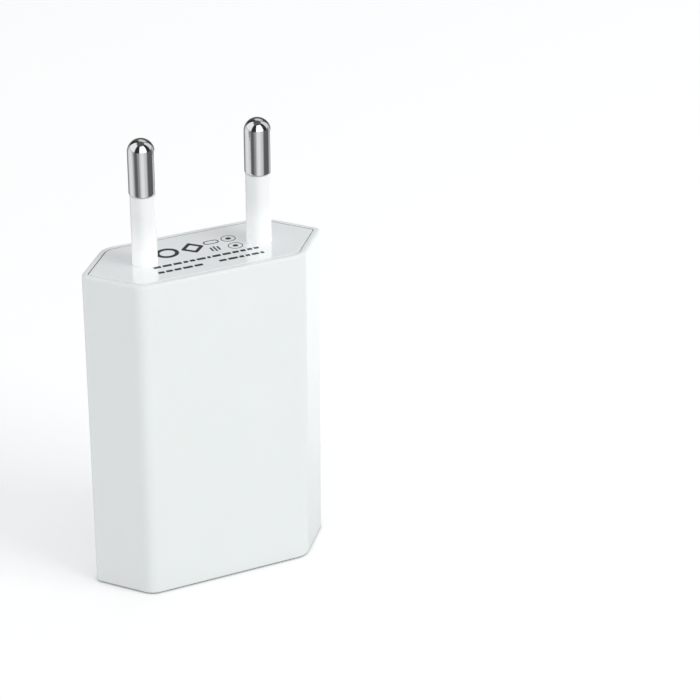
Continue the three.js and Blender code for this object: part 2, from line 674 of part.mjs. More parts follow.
// A contact is one bent strip: a sprung hump over the tongue, then a tail that turns down to the board.
const contact = strip(
  [
    [-0.42, 3.2],
    [0.02, 4.3],
    [0.2, 5.4],
    [0.02, 6.6],
    [ROOT[0] + 0.02, ROOT[1] - 0.9],
    [ROOT[0], ROOT[1]],
    [ROOT[0], TAIL_TURN - 0.35],
    [ROOT[0] + 0.1, TAIL_TURN - 0.1],
    [ROOT[0] + 0.35, TAIL_TURN],
    [boardBackY + 0.7, TAIL_TURN],
  ],
  CONTACT_THICKNESS, CONTACT_WIDTH,
);
CONTACT_X.forEach((x, i) => {
  piece(`usb_contact_${i + 1}`, contact, GOLD_PLATE, socket).position.x = x;
});

// ---- Circuit board, drilled for every leg, and the film behind it ----

const SOLDER_GAP = 0.15;
const drills = holes.map(([x, y, radius]) =>
  rod(radius, -BOARD_THICKNESS - 1, 1, 6).translate([x, y, 0]));
const leadDrills = [-1, 1].map((side) =>
  rod(LEAD_RADIUS + SOLDER_GAP, -BOARD_THICKNESS - 1, 1, 10)
    .translate([side * LEAD_HOLE[0], LEAD_HOLE[1], 0]));
const tailDrills = CONTACT_X.map((x) => {
  const y = SHELL_MOUTH + TAIL_TURN;
  return block([x - 0.6, y - 0.25, -BOARD_THICKNESS - 1], [x + 0.6, y + 0.25, 1]);
});
const shellLegDrills = [-1, 1].flatMap((side) =>
  [3.6, 9.8].map((z) => {
    const [x, y] = [side * (portX - SHELL_SHEET / 2), z + SHELL_MOUTH];
    return block([x - 0.35, y - 0.9, -BOARD_THICKNESS - 1], [x + 0.35, y + 0.9, 1]);
  }));
const boardPlate = block(
  [-BOARD_HALF_WIDTH, BOARD_LOW, -BOARD_THICKNESS],
  [BOARD_HALF_WIDTH, BOARD_HIGH, 0],
);
const drilled = cut(boardPlate, ...drills, ...leadDrills, ...tailDrills, ...shellLegDrills);
piece('circuit_board', drilled, BOARD_GREEN, board);

const FILM_THICKNESS = 0.2;
const filmY = DEPTH / 2 - WALL - FIT - FILM_THICKNESS;
piece(
  'insulating_film',
  block([-11.6, filmY, FLOOR + 0.4], [11.6, filmY + FILM_THICKNESS, BOARD_HIGH - 1]),
  AMBER_FILM,
);

export default charger;
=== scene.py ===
"""A slim USB wall charger with two fixed round mains pins, stood on its port face. Blender 4.5, +Z up.

Shapes are worked out in millimetres, in the frame's own axes, and turned to metres as each mesh is made.
"""
import math

import bmesh
import bpy
import numpy as np
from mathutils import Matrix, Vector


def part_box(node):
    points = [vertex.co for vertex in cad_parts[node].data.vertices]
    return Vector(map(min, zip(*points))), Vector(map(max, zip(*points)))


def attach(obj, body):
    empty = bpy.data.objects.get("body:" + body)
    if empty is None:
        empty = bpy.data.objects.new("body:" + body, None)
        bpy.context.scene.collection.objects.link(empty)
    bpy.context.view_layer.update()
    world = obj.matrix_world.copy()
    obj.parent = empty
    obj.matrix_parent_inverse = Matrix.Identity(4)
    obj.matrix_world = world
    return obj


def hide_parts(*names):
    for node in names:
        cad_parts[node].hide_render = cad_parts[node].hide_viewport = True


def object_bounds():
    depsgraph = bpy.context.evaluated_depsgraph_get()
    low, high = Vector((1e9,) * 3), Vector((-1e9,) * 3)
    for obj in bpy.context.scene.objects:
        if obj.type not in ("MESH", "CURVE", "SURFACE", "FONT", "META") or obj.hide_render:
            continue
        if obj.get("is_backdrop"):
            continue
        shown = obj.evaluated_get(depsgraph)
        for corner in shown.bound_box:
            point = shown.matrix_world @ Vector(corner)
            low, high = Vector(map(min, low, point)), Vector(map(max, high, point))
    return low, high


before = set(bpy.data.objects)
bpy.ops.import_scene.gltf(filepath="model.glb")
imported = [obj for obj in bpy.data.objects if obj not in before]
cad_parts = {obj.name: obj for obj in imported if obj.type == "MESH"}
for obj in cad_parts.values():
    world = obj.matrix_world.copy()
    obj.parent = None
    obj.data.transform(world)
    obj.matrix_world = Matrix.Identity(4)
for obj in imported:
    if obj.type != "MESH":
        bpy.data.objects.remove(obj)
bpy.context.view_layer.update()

MM = 0.001

# ---- Housing ----
# The deep outer sleeve, one injection moulding in white ABS-polycarbonate, closed at the port end. Its mould
# was lightly spark-eroded, so it has a low gloss. The pin cap is let into its open end and welded there.


def box_of(name):
    """The low and the high corner of a CAD node's box, in millimetres."""
    return [np.array(corner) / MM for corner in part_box(name)]


housing_low, housing_high = box_of("housing")
HEIGHT = housing_high[2]
DEPTH = housing_high[1] - housing_low[1]
SHARP_WIDTH = 38.0  # across the two side edges, before they are rounded
FACE_WIDTH = 25.5  # a broad face, to its sharp corners
SIDE_RADIUS = 1.1
SHOULDER_RADIUS = 3.0
LEAST_RADIUS = 0.3
WALL = 1.5
PORT_END = 1.6  # thickness of the end that the port is in
RIM = 0.85
EDGE_RADIUS = 0.35
FIT = 0.1
CAP_THICKNESS = 2.2
GUARD = 0.25  # a row of points this far into a flat face keeps its shading flat
CORNER_POINTS = 16

bevel_normal = math.atan2(SHARP_WIDTH - FACE_WIDTH, DEPTH)
bevel_reach = SHARP_WIDTH / 2 * math.cos(bevel_normal)
half_turn = math.pi
side_normals = np.array([-bevel_normal, bevel_normal, half_turn / 2, half_turn - bevel_normal,
                         half_turn + bevel_normal, half_turn * 1.5, 2 * half_turn - bevel_normal])
side_reaches = np.array([bevel_reach, bevel_reach, DEPTH / 2, bevel_reach, bevel_reach, DEPTH / 2,
                         bevel_reach])
corner_radii = np.array([SIDE_RADIUS, SHOULDER_RADIUS, SHOULDER_RADIUS] * 2)


def outline(inset, height):
    """One ring round the six-sided outline, taken in by inset on every side, at a height.

    A corner is an arc of radius r between the normals of its two sides. Its centre c solves
    c . n = reach - inset - r for both normals n. The arc has a guard point along the side at each end.
    """
    radius = np.maximum(corner_radii - inset, LEAST_RADIUS)[:, None]
    normals = np.stack([np.cos(side_normals), np.sin(side_normals)], -1)
    pairs = np.stack([normals[:-1], normals[1:]], 1)
    reaches = np.stack([side_reaches[:-1], side_reaches[1:]], 1) - inset - radius
    centre = np.linalg.solve(pairs, reaches[..., None])[..., 0]
    turn = np.linspace(side_normals[:-1], side_normals[1:], CORNER_POINTS - 2, axis=1)
    turn = np.concatenate([turn[:, :1], turn, turn[:, -1:]], 1)
    along = np.zeros(CORNER_POINTS)
    along[[0, -1]] = -GUARD, GUARD
    x = centre[:, :1] + radius * np.cos(turn) - along * np.sin(turn)
    y = centre[:, 1:] + radius * np.sin(turn) + along * np.cos(turn)
    return np.stack([x, y, np.full_like(x, height)], -1).reshape(-1, 3)


def rounded_box(half_x, half_y, radius, height, points=6 * CORNER_POINTS):
    """One ring round a rectangle with arcs at its corners, its points paired with those of outline().

    Corner k's arc turns from 90 (k - 1) to 90 k degrees about (+-(half_x - radius), +-(half_y - radius)).
    """
    turn = np.linspace(-np.pi / 2, 0, points // 4) + np.arange(4)[:, None] * np.pi / 2
    x = np.array([1, 1, -1, -1])[:, None] * (half_x - radius) + radius * np.cos(turn)
    y = np.array([-1, 1, 1, -1])[:, None] * (half_y - radius) + radius * np.sin(turn)
    ring = np.stack([x, y, np.full_like(x, height)], -1).reshape(-1, 3)
    return np.roll(ring, -points // 6, axis=0)


def quarter(inset, height, radius, start, steps=5):
    """(inset, height) rows of a quarter round, about a centre, turning from start degrees by 90."""
    turn = np.radians(np.linspace(start, start + 90, steps + 1))
    return list(zip(inset - radius * np.cos(turn), height + radius * np.sin(turn)))


def skin(rings, ends="closed"):
    """The surface through a row of rings, as (points, faces).

    Face (i, j) joins points j and j + 1 of ring i to those of ring i + 1. The two ends are closed by flat
    faces, joined to each other, or left open.
    """
    rings = np.asarray(rings, float)
    rows, count = rings.shape[:2]
    last = rows if ends == "joined" else rows - 1
    i, j = np.meshgrid(np.arange(last), np.arange(count), indexing="ij")
    here, above, after = i * count, (i + 1) % rows * count, (j + 1) % count
    faces = np.stack([here + j, here + after, above + after, above + j], -1).reshape(-1, 4).tolist()
    if ends == "closed":
        faces += [list(range(count)), list(range((rows - 1) * count, rows * count))]
    return rings.reshape(-1, 3), faces


def block(low, high):
    """A plain bar between two corners, as a skin of two rings."""
    (x0, y0, z0), (x1, y1, z1) = low, high
    ring = np.array([[x0, y0, 0], [x1, y0, 0], [x1, y1, 0], [x0, y1, 0]], float)
    return skin([ring + [0, 0, z0], ring + [0, 0, z1]])


CRISP = 38.0  # degrees


def piece(name, surfaces, finish, stands_for=()):
    """One object made of surfaces: their points are merged, faces are turned outwards, and folds sharper than
    CRISP are kept. The finish is one material, or one for each surface. The piece rides on the body and
    stands for its CAD nodes."""
    mesh = bpy.data.meshes.new(name)
    finishes = finish if isinstance(finish, list) else [finish] * len(surfaces)
    kinds = list(dict.fromkeys(finishes))
    points, faces, worn, start = [], [], [], 0
    for (surface_points, surface_faces), its_finish in zip(surfaces, finishes):
        points.append(surface_points)
        faces += [[start + corner for corner in face] for face in surface_faces]
        worn += [kinds.index(its_finish)] * len(surface_faces)
        start += len(surface_points)
    mesh.from_pydata(np.concatenate(points) * MM, [], faces)
    mesh.polygons.foreach_set("material_index", worn)
    for kind in kinds:
        mesh.materials.append(kind)
    work = bmesh.new()
    work.from_mesh(mesh)
    bmesh.ops.remove_doubles(work, verts=work.verts, dist=0.0005 * MM)
    bmesh.ops.recalc_face_normals(work, faces=work.faces)
    work.to_mesh(mesh)
    work.free()
    mesh.shade_smooth()
    mesh.set_sharp_from_angle(angle=math.radians(CRISP))
    made = bpy.data.objects.new(name, mesh)
    bpy.context.scene.collection.objects.link(made)
    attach(made, "root")
    if stands_for:
        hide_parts(*stands_for)
    return made


def colour(code):
    """An sRGB hex value as linear red, green, blue and alpha."""
    srgb = np.array([int(code[i:i + 2], 16) for i in (1, 3, 5)]) / 255
    return (*np.where(srgb <= 0.04045, srgb / 12.92, ((srgb + 0.055) / 1.055) ** 2.4), 1.0)


def node(tree, kind, inputs=(), **settings):
    """Adds a node with its settings. An input given as a socket is linked, and any other is its value."""
    made = tree.nodes.new(kind)
    for key, value in settings.items():
        setattr(made, key, value)
    for key, value in dict(inputs).items():
        if isinstance(value, bpy.types.NodeSocket):
            tree.links.new(value, made.inputs[key])
        else:
            made.inputs[key].default_value = value
    return made


def new_finish(name):
    """An empty material, as (material, its node tree, its Principled shader, object coordinates)."""
    material = bpy.data.materials.new(name)
    material.use_nodes = True
    tree = material.node_tree
    place = node(tree, "ShaderNodeTexCoord").outputs["Object"]
    return material, tree, tree.nodes["Principled BSDF"], place


def set_even(shader, values):
    """Gives sockets of a shader one value each, the same all over the surface."""
    for socket, value in values.items():
        shader.inputs[socket].default_value = value


# Moulded ABS-polycarbonate: opaque white with a trace of light passing under its skin. The eroded grain is
# 0.1 mm on the real one and is drawn 0.35 mm, so that it shows. The broad waves are the flow of the melt.
# Painted shade greys the narrowest crevices, along the base and the cap's seam, where little of the view out
# is open within a short reach.
GRAIN = 0.35
SHADE_REACH = 0.6
SHADE_FULL, SHADE_OPEN = 0.42, 0.72
FLOW = 9.0
housing_plastic, tree, shader, place = new_finish("moulded_abs_low_gloss")
grain = node(tree, "ShaderNodeTexNoise", {"Vector": place, "Scale": 1 / (GRAIN * MM), "Detail": 2.0})
flow = node(tree, "ShaderNodeTexNoise", {"Vector": place, "Scale": 1 / (FLOW * MM), "Detail": 1.0})
fine = node(tree, "ShaderNodeBump", {"Height": grain.outputs["Fac"], "Strength": 0.05, "Distance": 0.02 * MM})
broad = node(tree, "ShaderNodeBump", {"Height": flow.outputs["Fac"], "Strength": 0.12, "Distance": 0.3 * MM,
                                      "Normal": fine.outputs["Normal"]})
gloss = node(tree, "ShaderNodeMapRange", {"Value": flow.outputs["Fac"], "To Min": 0.27, "To Max": 0.33})
tint = node(tree, "ShaderNodeMix", {"Factor": flow.outputs["Fac"], "A": colour("#e9edec"),
                                    "B": colour("#ecf0ef")}, data_type="RGBA")
# Painted shade: where the occlusion closes in, the tint gives way to the grey #565a5b.
crevice = node(tree, "ShaderNodeAmbientOcclusion", {"Distance": SHADE_REACH * MM}, samples=8)
painted_shade = node(tree, "ShaderNodeMapRange", {
    "Value": crevice.outputs["AO"], "From Min": SHADE_FULL, "From Max": SHADE_OPEN},
    interpolation_type="SMOOTHSTEP")
shaded_tint = node(tree, "ShaderNodeMix", {"Factor": painted_shade.outputs["Result"], "A": colour("#565a5b"),
                                      "B": tint.outputs["Result"]}, data_type="RGBA")
tree.links.new(shaded_tint.outputs["Result"], shader.inputs["Base Color"])
tree.links.new(gloss.outputs["Result"], shader.inputs["Roughness"])
tree.links.new(broad.outputs["Normal"], shader.inputs["Normal"])
set_even(shader, {"IOR": 1.53, "Subsurface Weight": 0.12, "Subsurface Radius": (1.0, 0.9, 0.8),
                  "Subsurface Scale": 0.8 * MM})

# The port's hole is the metal shell's size, and a little more.
shell_low, shell_high = box_of("usb_shell")
PORT_INSIDE = (6.25, 2.56)  # half width and half height inside the metal shell
SHEET = 0.3
PORT_CORNER = 0.4
port_hole = [half + SHEET + FIT for half in PORT_INSIDE]


def port_ring(grow, height):
    """One ring round the port's hole, grown by grow on every side."""
    return rounded_box(port_hole[0] + grow, port_hole[1] + grow, PORT_CORNER + grow, height)


SMALL = 0.08  # round on an edge that only has its flash taken off
profile = [(EDGE_RADIUS + GUARD, 0.0)]
profile += quarter(EDGE_RADIUS, EDGE_RADIUS, EDGE_RADIUS, -90)
profile += [(0.0, EDGE_RADIUS + GUARD), (0.0, HEIGHT - EDGE_RADIUS - GUARD)]
profile += quarter(EDGE_RADIUS, HEIGHT - EDGE_RADIUS, EDGE_RADIUS, 0)
profile += quarter(RIM - SMALL, HEIGHT - SMALL, SMALL, 90, steps=3)
profile += [(RIM, HEIGHT - CAP_THICKNESS), (WALL, HEIGHT - CAP_THICKNESS), (WALL, PORT_END)]
rings = [outline(inset, height) for inset, height in profile]
rings += [port_ring(0, PORT_END), port_ring(0, SMALL)]
rings += [port_ring(-inset, height) for inset, height in quarter(-SMALL, SMALL, SMALL, 180, steps=3)]
rings += [port_ring(SMALL + GUARD, 0)]

# Two pairs of rails, moulded on the bevels' inside, hold the board's edges.
board_low, board_high = box_of("circuit_board")
RAIL = 0.8
RAIL_INNER = 12.5
RAIL_ROOT = 0.3  # how far a rail runs into the wall that it grows from
RAIL_SHORT = 6.0  # from a rail's end up to the board's
rails = []
for face, away in ((board_low[1], -1), (board_high[1], 1)):
    near, far = face + away * FIT, face + away * (FIT + RAIL)
    inner_wall = SHARP_WIDTH / 2 - WALL / math.cos(bevel_normal) - max(near, far) * math.tan(bevel_normal)
    for side in (-1, 1):
        x0, x1 = sorted((side * RAIL_INNER, side * (inner_wall + RAIL_ROOT)))
        y0, y1 = sorted((near, far))
        rails.append(block((x0, y0, PORT_END - RAIL_ROOT), (x1, y1, board_high[2] - RAIL_SHORT)))
piece("housing_sleeve", [skin(rings, "joined"), *rails], housing_plastic, ["housing"])

# ---- Pin cap ----
# The plate that carries the pins, moulded round them in white polycarbonate in a polished mould, so that it
# shines and shows the pins' reflections. Its skirt and its edge fit inside the housing, and are welded there.

PIN_RADIUS = 1.97
SLEEVE_RADIUS = 1.85
SHANK_RADIUS = 1.5
SNUG = 0.04
pin_boxes = {word: np.array(box_of(f"mains_pin_{word}")) for word in ("left", "right")}
pin_x = {word: box[:, 0].mean() for word, box in pin_boxes.items()}
pin_top = pin_boxes["left"][1, 2]
sleeve_low, sleeve_high = (corner[2] for corner in box_of("pin_sleeve_left"))
SKIRT = 1.0
SKIRT_LENGTH = 3.0
BOSS_RADIUS = 3.8
BOSS_LENGTH = 3.8
COLLAR_RADIUS = 2.3
COLLAR_TOP = 1.8  # depths on a pin are from the pin face
COLLAR_BOTTOM = 3.4
LUG_TOP = 6.6
LUG_BOTTOM = 8.6
LUG_RADIUS = 1.0


def turned(profile, x, y, turn=None):
    """A surface of revolution about a vertical axis at (x, y): each (radius, height) row is a circle."""
    turn = np.linspace(0, 2 * np.pi, 97)[:-1] if turn is None else turn
    profile = np.asarray(profile, float)
    radius, height = profile[:, :1], profile[:, 1:]
    return np.stack([x + radius * np.cos(turn), y + radius * np.sin(turn), height + 0 * turn], -1)


def half_ring(ring, side):
    """The part of a ring on one side of the middle, with points down the middle line to close it."""
    kept = ring[ring[:, 0] * side > 0]
    start = np.argmax(np.linalg.norm(kept - np.roll(kept, 1, 0), axis=1))
    kept = np.roll(kept, -start, 0)
    middle = np.linspace(kept[-1, 1], kept[0, 1], 12)
    line = np.stack([0 * middle, middle, np.full_like(middle, ring[0, 2])], -1)
    return np.concatenate([kept, line])


def finish_off(tree, shader, tint, gloss, relief=None, even=None):
    """Lets patterns of 0 to 1 drive a finish. The tint is (pattern, hex value at 0, hex value at 1). The
    gloss is one roughness, or (pattern, roughness at 0, roughness at 1). The relief is (pattern, strength,
    depth in mm)."""
    mixed = node(tree, "ShaderNodeMix", {"Factor": tint[0], "A": colour(tint[1]), "B": colour(tint[2])},
                 data_type="RGBA")
    tree.links.new(mixed.outputs["Result"], shader.inputs["Base Color"])
    if isinstance(gloss, tuple):
        rough = node(tree, "ShaderNodeMapRange", {"Value": gloss[0], "To Min": gloss[1], "To Max": gloss[2]})
        tree.links.new(rough.outputs["Result"], shader.inputs["Roughness"])
    else:
        shader.inputs["Roughness"].default_value = gloss
    if relief:
        height, strength, depth = relief
        bumps = node(tree, "ShaderNodeBump", {"Height": height, "Strength": strength, "Distance": depth * MM})
        tree.links.new(bumps.outputs["Normal"], shader.inputs["Normal"])
    set_even(shader, even or {})


CHAMFER = 0.12
edge = RIM + FIT
plate_low = HEIGHT - CAP_THICKNESS
skirt_low = plate_low - SKIRT_LENGTH
skirt_in = WALL + FIT + SKIRT
rows = [(edge + CHAMFER + GUARD, HEIGHT), *quarter(edge + CHAMFER, HEIGHT - CHAMFER, CHAMFER, 0, 4)[::-1]]
rows += [(edge, plate_low), (WALL + FIT, plate_low), (WALL + FIT, skirt_low), (skirt_in, skirt_low)]
rows += [(skirt_in, plate_low)]
rings = np.array([outline(inset, height) for inset, height in rows])
surfaces = [skin(rings, "open")]
bore = [
    (BOSS_RADIUS, plate_low), (BOSS_RADIUS, plate_low - BOSS_LENGTH),
    (SHANK_RADIUS + SNUG, plate_low - BOSS_LENGTH), (SHANK_RADIUS + SNUG, HEIGHT - COLLAR_BOTTOM - SNUG),
    (COLLAR_RADIUS + SNUG, HEIGHT - COLLAR_BOTTOM - SNUG), (COLLAR_RADIUS + SNUG, HEIGHT - COLLAR_TOP + SNUG),
    (SHANK_RADIUS + SNUG, HEIGHT - COLLAR_TOP + SNUG), (SHANK_RADIUS + SNUG, sleeve_low - SNUG),
    (SLEEVE_RADIUS + SNUG, sleeve_low - SNUG), (SLEEVE_RADIUS + SNUG, HEIGHT - CHAMFER / 2),
    (SLEEVE_RADIUS + SNUG + CHAMFER / 2, HEIGHT), (SLEEVE_RADIUS + SNUG + CHAMFER / 2 + GUARD, HEIGHT),
]
for word, side in (("left", -1), ("right", 1)):
    top, under = half_ring(rings[0], side), half_ring(rings[-1], side)
    turn = np.arctan2(top[:, 1], top[:, 0] - pin_x[word])
    hole = turned(bore, pin_x[word], 0, turn)
    surfaces += [skin([under, *hole, top], "open")]

# Polished polycarbonate: a hard bright gloss over opaque white. The faint broad waves are sink marks over the
# bosses, and there is a fine haze of handling in the gloss.
SINK = 7.0
HAZE = 1.6
cap_plastic, tree, shader, place = new_finish("polished_polycarbonate")
sink = node(tree, "ShaderNodeTexNoise", {"Vector": place, "Scale": 1 / (SINK * MM), "Detail": 1.0}).outputs[0]
haze = node(tree, "ShaderNodeTexNoise", {"Vector": place, "Scale": 1 / (HAZE * MM), "Detail": 4.0}).outputs[0]
finish_off(tree, shader, tint=(sink, "#f6f9fa", "#f8fbfb"), gloss=(haze, 0.05, 0.12), relief=(sink, 0.1, 0.1),
           even={"IOR": 2.1})
piece("pin_face_cap", surfaces, cap_plastic, ["pin_cap"])

# ---- Pin sleeves ----
# White nylon tubes moulded on the pins' lower halves, so that no live metal can be touched as the plug goes
# in. They shine softly, and a little light passes under their skin. A painted glow, an emission that fades
# out upwards from the white cap, lightens their feet.

TUBE_EDGE = 0.1
CLOUD = 1.2  # patches in the nylon's gloss
PAINTED_FOOT_GLOW = 0.2
FOOT_REACH = 8.5
nylon, tree, shader, place = new_finish("moulded_nylon")
cloud = node(tree, "ShaderNodeTexNoise", {
    "Vector": place, "Scale": 1 / (CLOUD * MM), "Detail": 3.0}).outputs["Fac"]
height = node(tree, "ShaderNodeSeparateXYZ", {"Vector": place}).outputs["Z"]
# Painted glow: emission is strongest at the cap and gone FOOT_REACH above it.
painted_foot_glow = node(tree, "ShaderNodeMapRange", {
    "Value": height, "From Min": HEIGHT * MM, "From Max": (HEIGHT + FOOT_REACH) * MM, "To Min": PAINTED_FOOT_GLOW,
    "To Max": 0.0}, interpolation_type="SMOOTHSTEP").outputs["Result"]
tree.links.new(painted_foot_glow, shader.inputs["Emission Strength"])
finish_off(tree, shader, tint=(cloud, "#f4f7f7", "#f8fafa"), gloss=(cloud, 0.2, 0.3),
           relief=(cloud, 0.06, 0.05),
           even={"IOR": 1.53, "Subsurface Weight": 0.25, "Subsurface Radius": (1.0, 1.0, 0.95),
                 "Subsurface Scale": 0.6 * MM, "Emission Color": colour("#ffffff")})
inner = SHANK_RADIUS + SNUG
shoulder = sleeve_high - TUBE_EDGE
tube = [(inner, sleeve_low), (SLEEVE_RADIUS, sleeve_low), (SLEEVE_RADIUS, shoulder - GUARD)]
tube += [(SLEEVE_RADIUS - inset, height) for inset, height in quarter(TUBE_EDGE, shoulder, TUBE_EDGE, 0)]
tube += [(inner, sleeve_high)]
for word, x in pin_x.items():
    piece(f"insulating_sleeve_{word}", [skin(turned(tube, x, 0), "joined")], nylon,
          [f"pin_sleeve_{word}"])

# ---- Mains pins ----
# Turned brass, nickel plated: a domed tip at full size, a thinner shank under the sleeve, a collar that the
# cap is moulded round, and a lug for the lead. The plating is a bright mirror with faint marks from the
# lathe.

LIP = 0.22
LATHE_PITCH = 0.25  # 0.05 mm on the real one, and drawn coarser so that it shows
WEAR = 0.9
nickel, tree, shader, place = new_finish("bright_nickel_plate")
lathe = node(tree, "ShaderNodeTexWave", {
    "Vector": place, "Scale": 1 / (LATHE_PITCH * MM) / 20, "Distortion": 0.6, "Detail": 2.0},
    bands_direction="Z").outputs["Fac"]
wear = node(tree, "ShaderNodeTexNoise", {"Vector": place, "Scale": 1 / (WEAR * MM), "Detail": 4.0}).outputs[0]
finish_off(tree, shader, tint=(wear, "#dadcdd", "#e0e2e3"), gloss=(wear, 0.07, 0.13),
           relief=(lathe, 0.03, 0.01), even={"Metallic": 1.0})
metal_low = sleeve_high + SNUG
dome = np.radians(np.linspace(0, 90, 25))
pin = [
    (0, HEIGHT - LUG_BOTTOM), (LUG_RADIUS, HEIGHT - LUG_BOTTOM), (LUG_RADIUS, HEIGHT - LUG_TOP),
    (SHANK_RADIUS, HEIGHT - LUG_TOP), (SHANK_RADIUS, HEIGHT - COLLAR_BOTTOM),
    (COLLAR_RADIUS, HEIGHT - COLLAR_BOTTOM), (COLLAR_RADIUS, HEIGHT - COLLAR_TOP),
    (SHANK_RADIUS, HEIGHT - COLLAR_TOP), (SHANK_RADIUS, metal_low), (PIN_RADIUS - LIP - GUARD / 2, metal_low),
]
pin += [(PIN_RADIUS - inset, height) for inset, height in quarter(LIP, metal_low + LIP, LIP, -90)]
pin += [(PIN_RADIUS, metal_low + LIP + GUARD)]
pin += list(zip(PIN_RADIUS * np.cos(dome), pin_top - PIN_RADIUS + PIN_RADIUS * np.sin(dome)))
for word, x in pin_x.items():
    piece(f"plated_pin_{word}", [skin(turned(pin, x, 0))], nickel, [f"mains_pin_{word}"])

# ---- Legend ----
# Pad-printed dark grey ink on the cap, 10 micrometres thick on the real one. It is generic: rows of dashes,
# plain rings, frames and bars, with no letter or mark that stands for anyone.

INK_LOW, INK_HIGH = HEIGHT + 0.003, HEIGHT + 0.015


def mark(x, y, half_x, half_y, line=0.0, power=2, turned_by=0.0, points=48):
    """A plate of ink with the superellipse |x / a|^p + |y / b|^p = 1 as its outline, turned about its middle:
    power 2 is an ellipse, and a high power nears a rectangle. With a line, it is a frame of that width."""
    turn = np.linspace(0, 2 * np.pi, points + 1)[:-1]
    across, up = (np.sign(part) * np.abs(part) ** (2 / power) for part in (np.cos(turn), np.sin(turn)))
    cos, sin = math.cos(turned_by), math.sin(turned_by)

    def ring(inset, height):
        u, v = (half_x - inset) * across, (half_y - inset) * up
        return np.stack([x + u * cos - v * sin, y + u * sin + v * cos, np.full_like(u, height)], -1)

    plate = [ring(0, INK_LOW), ring(0, INK_HIGH)]
    return skin([*plate, ring(line, INK_HIGH), ring(line, INK_LOW)], "joined") if line else skin(plate)


# The numbers are a mark's x and y, its two half sizes, and for a frame the width of its line.
shapes = [
    mark(-4.9, 1.6, 1.75, 1.6, 0.6),
    mark(-0.9, 1.7, 1.3, 1.3, 0.55, power=12, turned_by=np.pi / 4),
    mark(2.3, 2.35, 1.2, 0.62, 0.18, power=3),
]
shapes += [mark(2.0 + step * 0.55, 0.0, 0.13, 0.85 - 0.2 * abs(step), power=8) for step in (-1, 0, 1)]
for y in (2.45, -0.25):
    shapes += [mark(5.1, y, 1.12, 1.05, 0.12), mark(5.1, y, 0.42, 0.36)]
DASH = (0.5, 1.5)  # the shortest and the longest
DASH_GAP = 0.28
DASH_ROOM = 0.6  # a row ends where there is less room than this for one more
DASH_HALF_HEIGHT = 0.3
random = np.random.default_rng(7)
for y, start, end in ((-2.3, -8.6, 8.7), (-4.1, -8.6, -0.9), (-4.1, 0.9, 8.8)):
    x = start
    while x < end - DASH_ROOM:
        width = min(random.uniform(*DASH), end - x)
        shapes.append(mark(x + width / 2, y, width / 2, DASH_HALF_HEIGHT, power=8, points=24))
        x += width + DASH_GAP


def mottled(name, size, detail, tint, gloss, relief=None, even=None, stretch=None):
    """A finish that follows one noise, with patches of a size in mm, drawn out along an axis whose stretch is
    below 1. Its tint is two hex values, its gloss one or two roughnesses, and its relief (strength, depth in
    mm)."""
    material, tree, shader, place = new_finish(name)
    if stretch:
        place = node(tree, "ShaderNodeMapping", {"Vector": place, "Scale": stretch}).outputs["Vector"]
    noise = node(tree, "ShaderNodeTexNoise", {"Vector": place, "Scale": 1 / (size * MM), "Detail": detail})
    patches = noise.outputs["Fac"]
    finish_off(tree, shader, (patches, *tint), (patches, *gloss) if isinstance(gloss, tuple) else gloss,
               (patches, *relief) if relief else None, even)
    return material


# Pad-printed ink: a thin, dull film, a little uneven where the pad has lifted.
ink_finish = mottled("pad_printing_ink", size=0.15, detail=2.0, tint=("#2e3132", "#3d4142"), gloss=0.35)
piece("pin_face_legend", shapes, ink_finish)

# ---- Mains leads ----
# Two stranded wires in PVC insulation, brown and blue, soldered to the pins' lugs and through the board.
# Black shrink tube covers each joint at the lug.

board_face = board_low[1]
board_back = board_high[1]
LEAD_RADIUS = 0.65
LEAD_HOLE = (11.0, 40.6)  # x and height of a lead's hole in the board
SHRINK_RADIUS = 1.4
SHRINK_NECK = 0.15  # how much narrower its two ends are


def eased(corners, radius, steps=7):
    """A path through corners, with each inner corner c replaced between the points a and b, radius away along
    its two sides, by the curve (1 - t)^2 a + 2 t (1 - t) c + t^2 b."""
    corners = np.asarray(corners, float)
    middle = corners[1:-1]
    ends = []
    for there in (corners[:-2], corners[2:]):
        away = there - middle
        length = np.linalg.norm(away, axis=1, keepdims=True)
        ends.append(middle + away * np.minimum(radius / length, 0.45))
    t = np.linspace(0, 1, steps)[:, None, None]
    bends = (1 - t) ** 2 * ends[0] + 2 * t * (1 - t) * middle + t ** 2 * ends[1]
    return np.concatenate([corners[:1], bends.transpose(1, 0, 2).reshape(-1, 3), corners[-1:]])


def swept(path, section, square_to):
    """A section carried along a path: row (u, v) of it, at a point p with tangent t, is p + u n + v (t x n),
    where n is square_to less its part along t, at length 1."""
    path = np.asarray(path, float)
    step = np.diff(path, axis=0)
    step /= np.linalg.norm(step, axis=1, keepdims=True)
    tangent = np.concatenate([step[:1], step[:-1] + step[1:], step[-1:]])
    tangent /= np.linalg.norm(tangent, axis=1, keepdims=True)
    normal = np.asarray(square_to, float) - tangent * (tangent @ np.asarray(square_to, float))[:, None]
    normal /= np.linalg.norm(normal, axis=1, keepdims=True)
    binormal = np.cross(tangent, normal)
    section = np.asarray(section, float)
    across = section[:, :1] * normal[:, None] + section[:, 1:2] * binormal[:, None]
    return skin(path[:, None] + across)


def circle(radius, points):
    """The section of a round wire."""
    turn = np.linspace(0, 2 * np.pi, points + 1)[:-1]
    return np.stack([radius * np.cos(turn), radius * np.sin(turn)], -1)


# Extruded PVC: an even colour with a soft shine, and a fine ripple from the strands under it.
STRAND = 0.25
WIRE_COLOURS = {"left": ("brown", ("#6b3f24", "#7a4a2c")), "right": ("blue", ("#2b5fa6", "#3a6db2"))}
wires = {word: mottled(f"pvc_insulation_{word}", size=STRAND, detail=2.0, tint=tint, gloss=0.35,
                       relief=(0.2, 0.03))
         for word, (_, tint) in WIRE_COLOURS.items()}

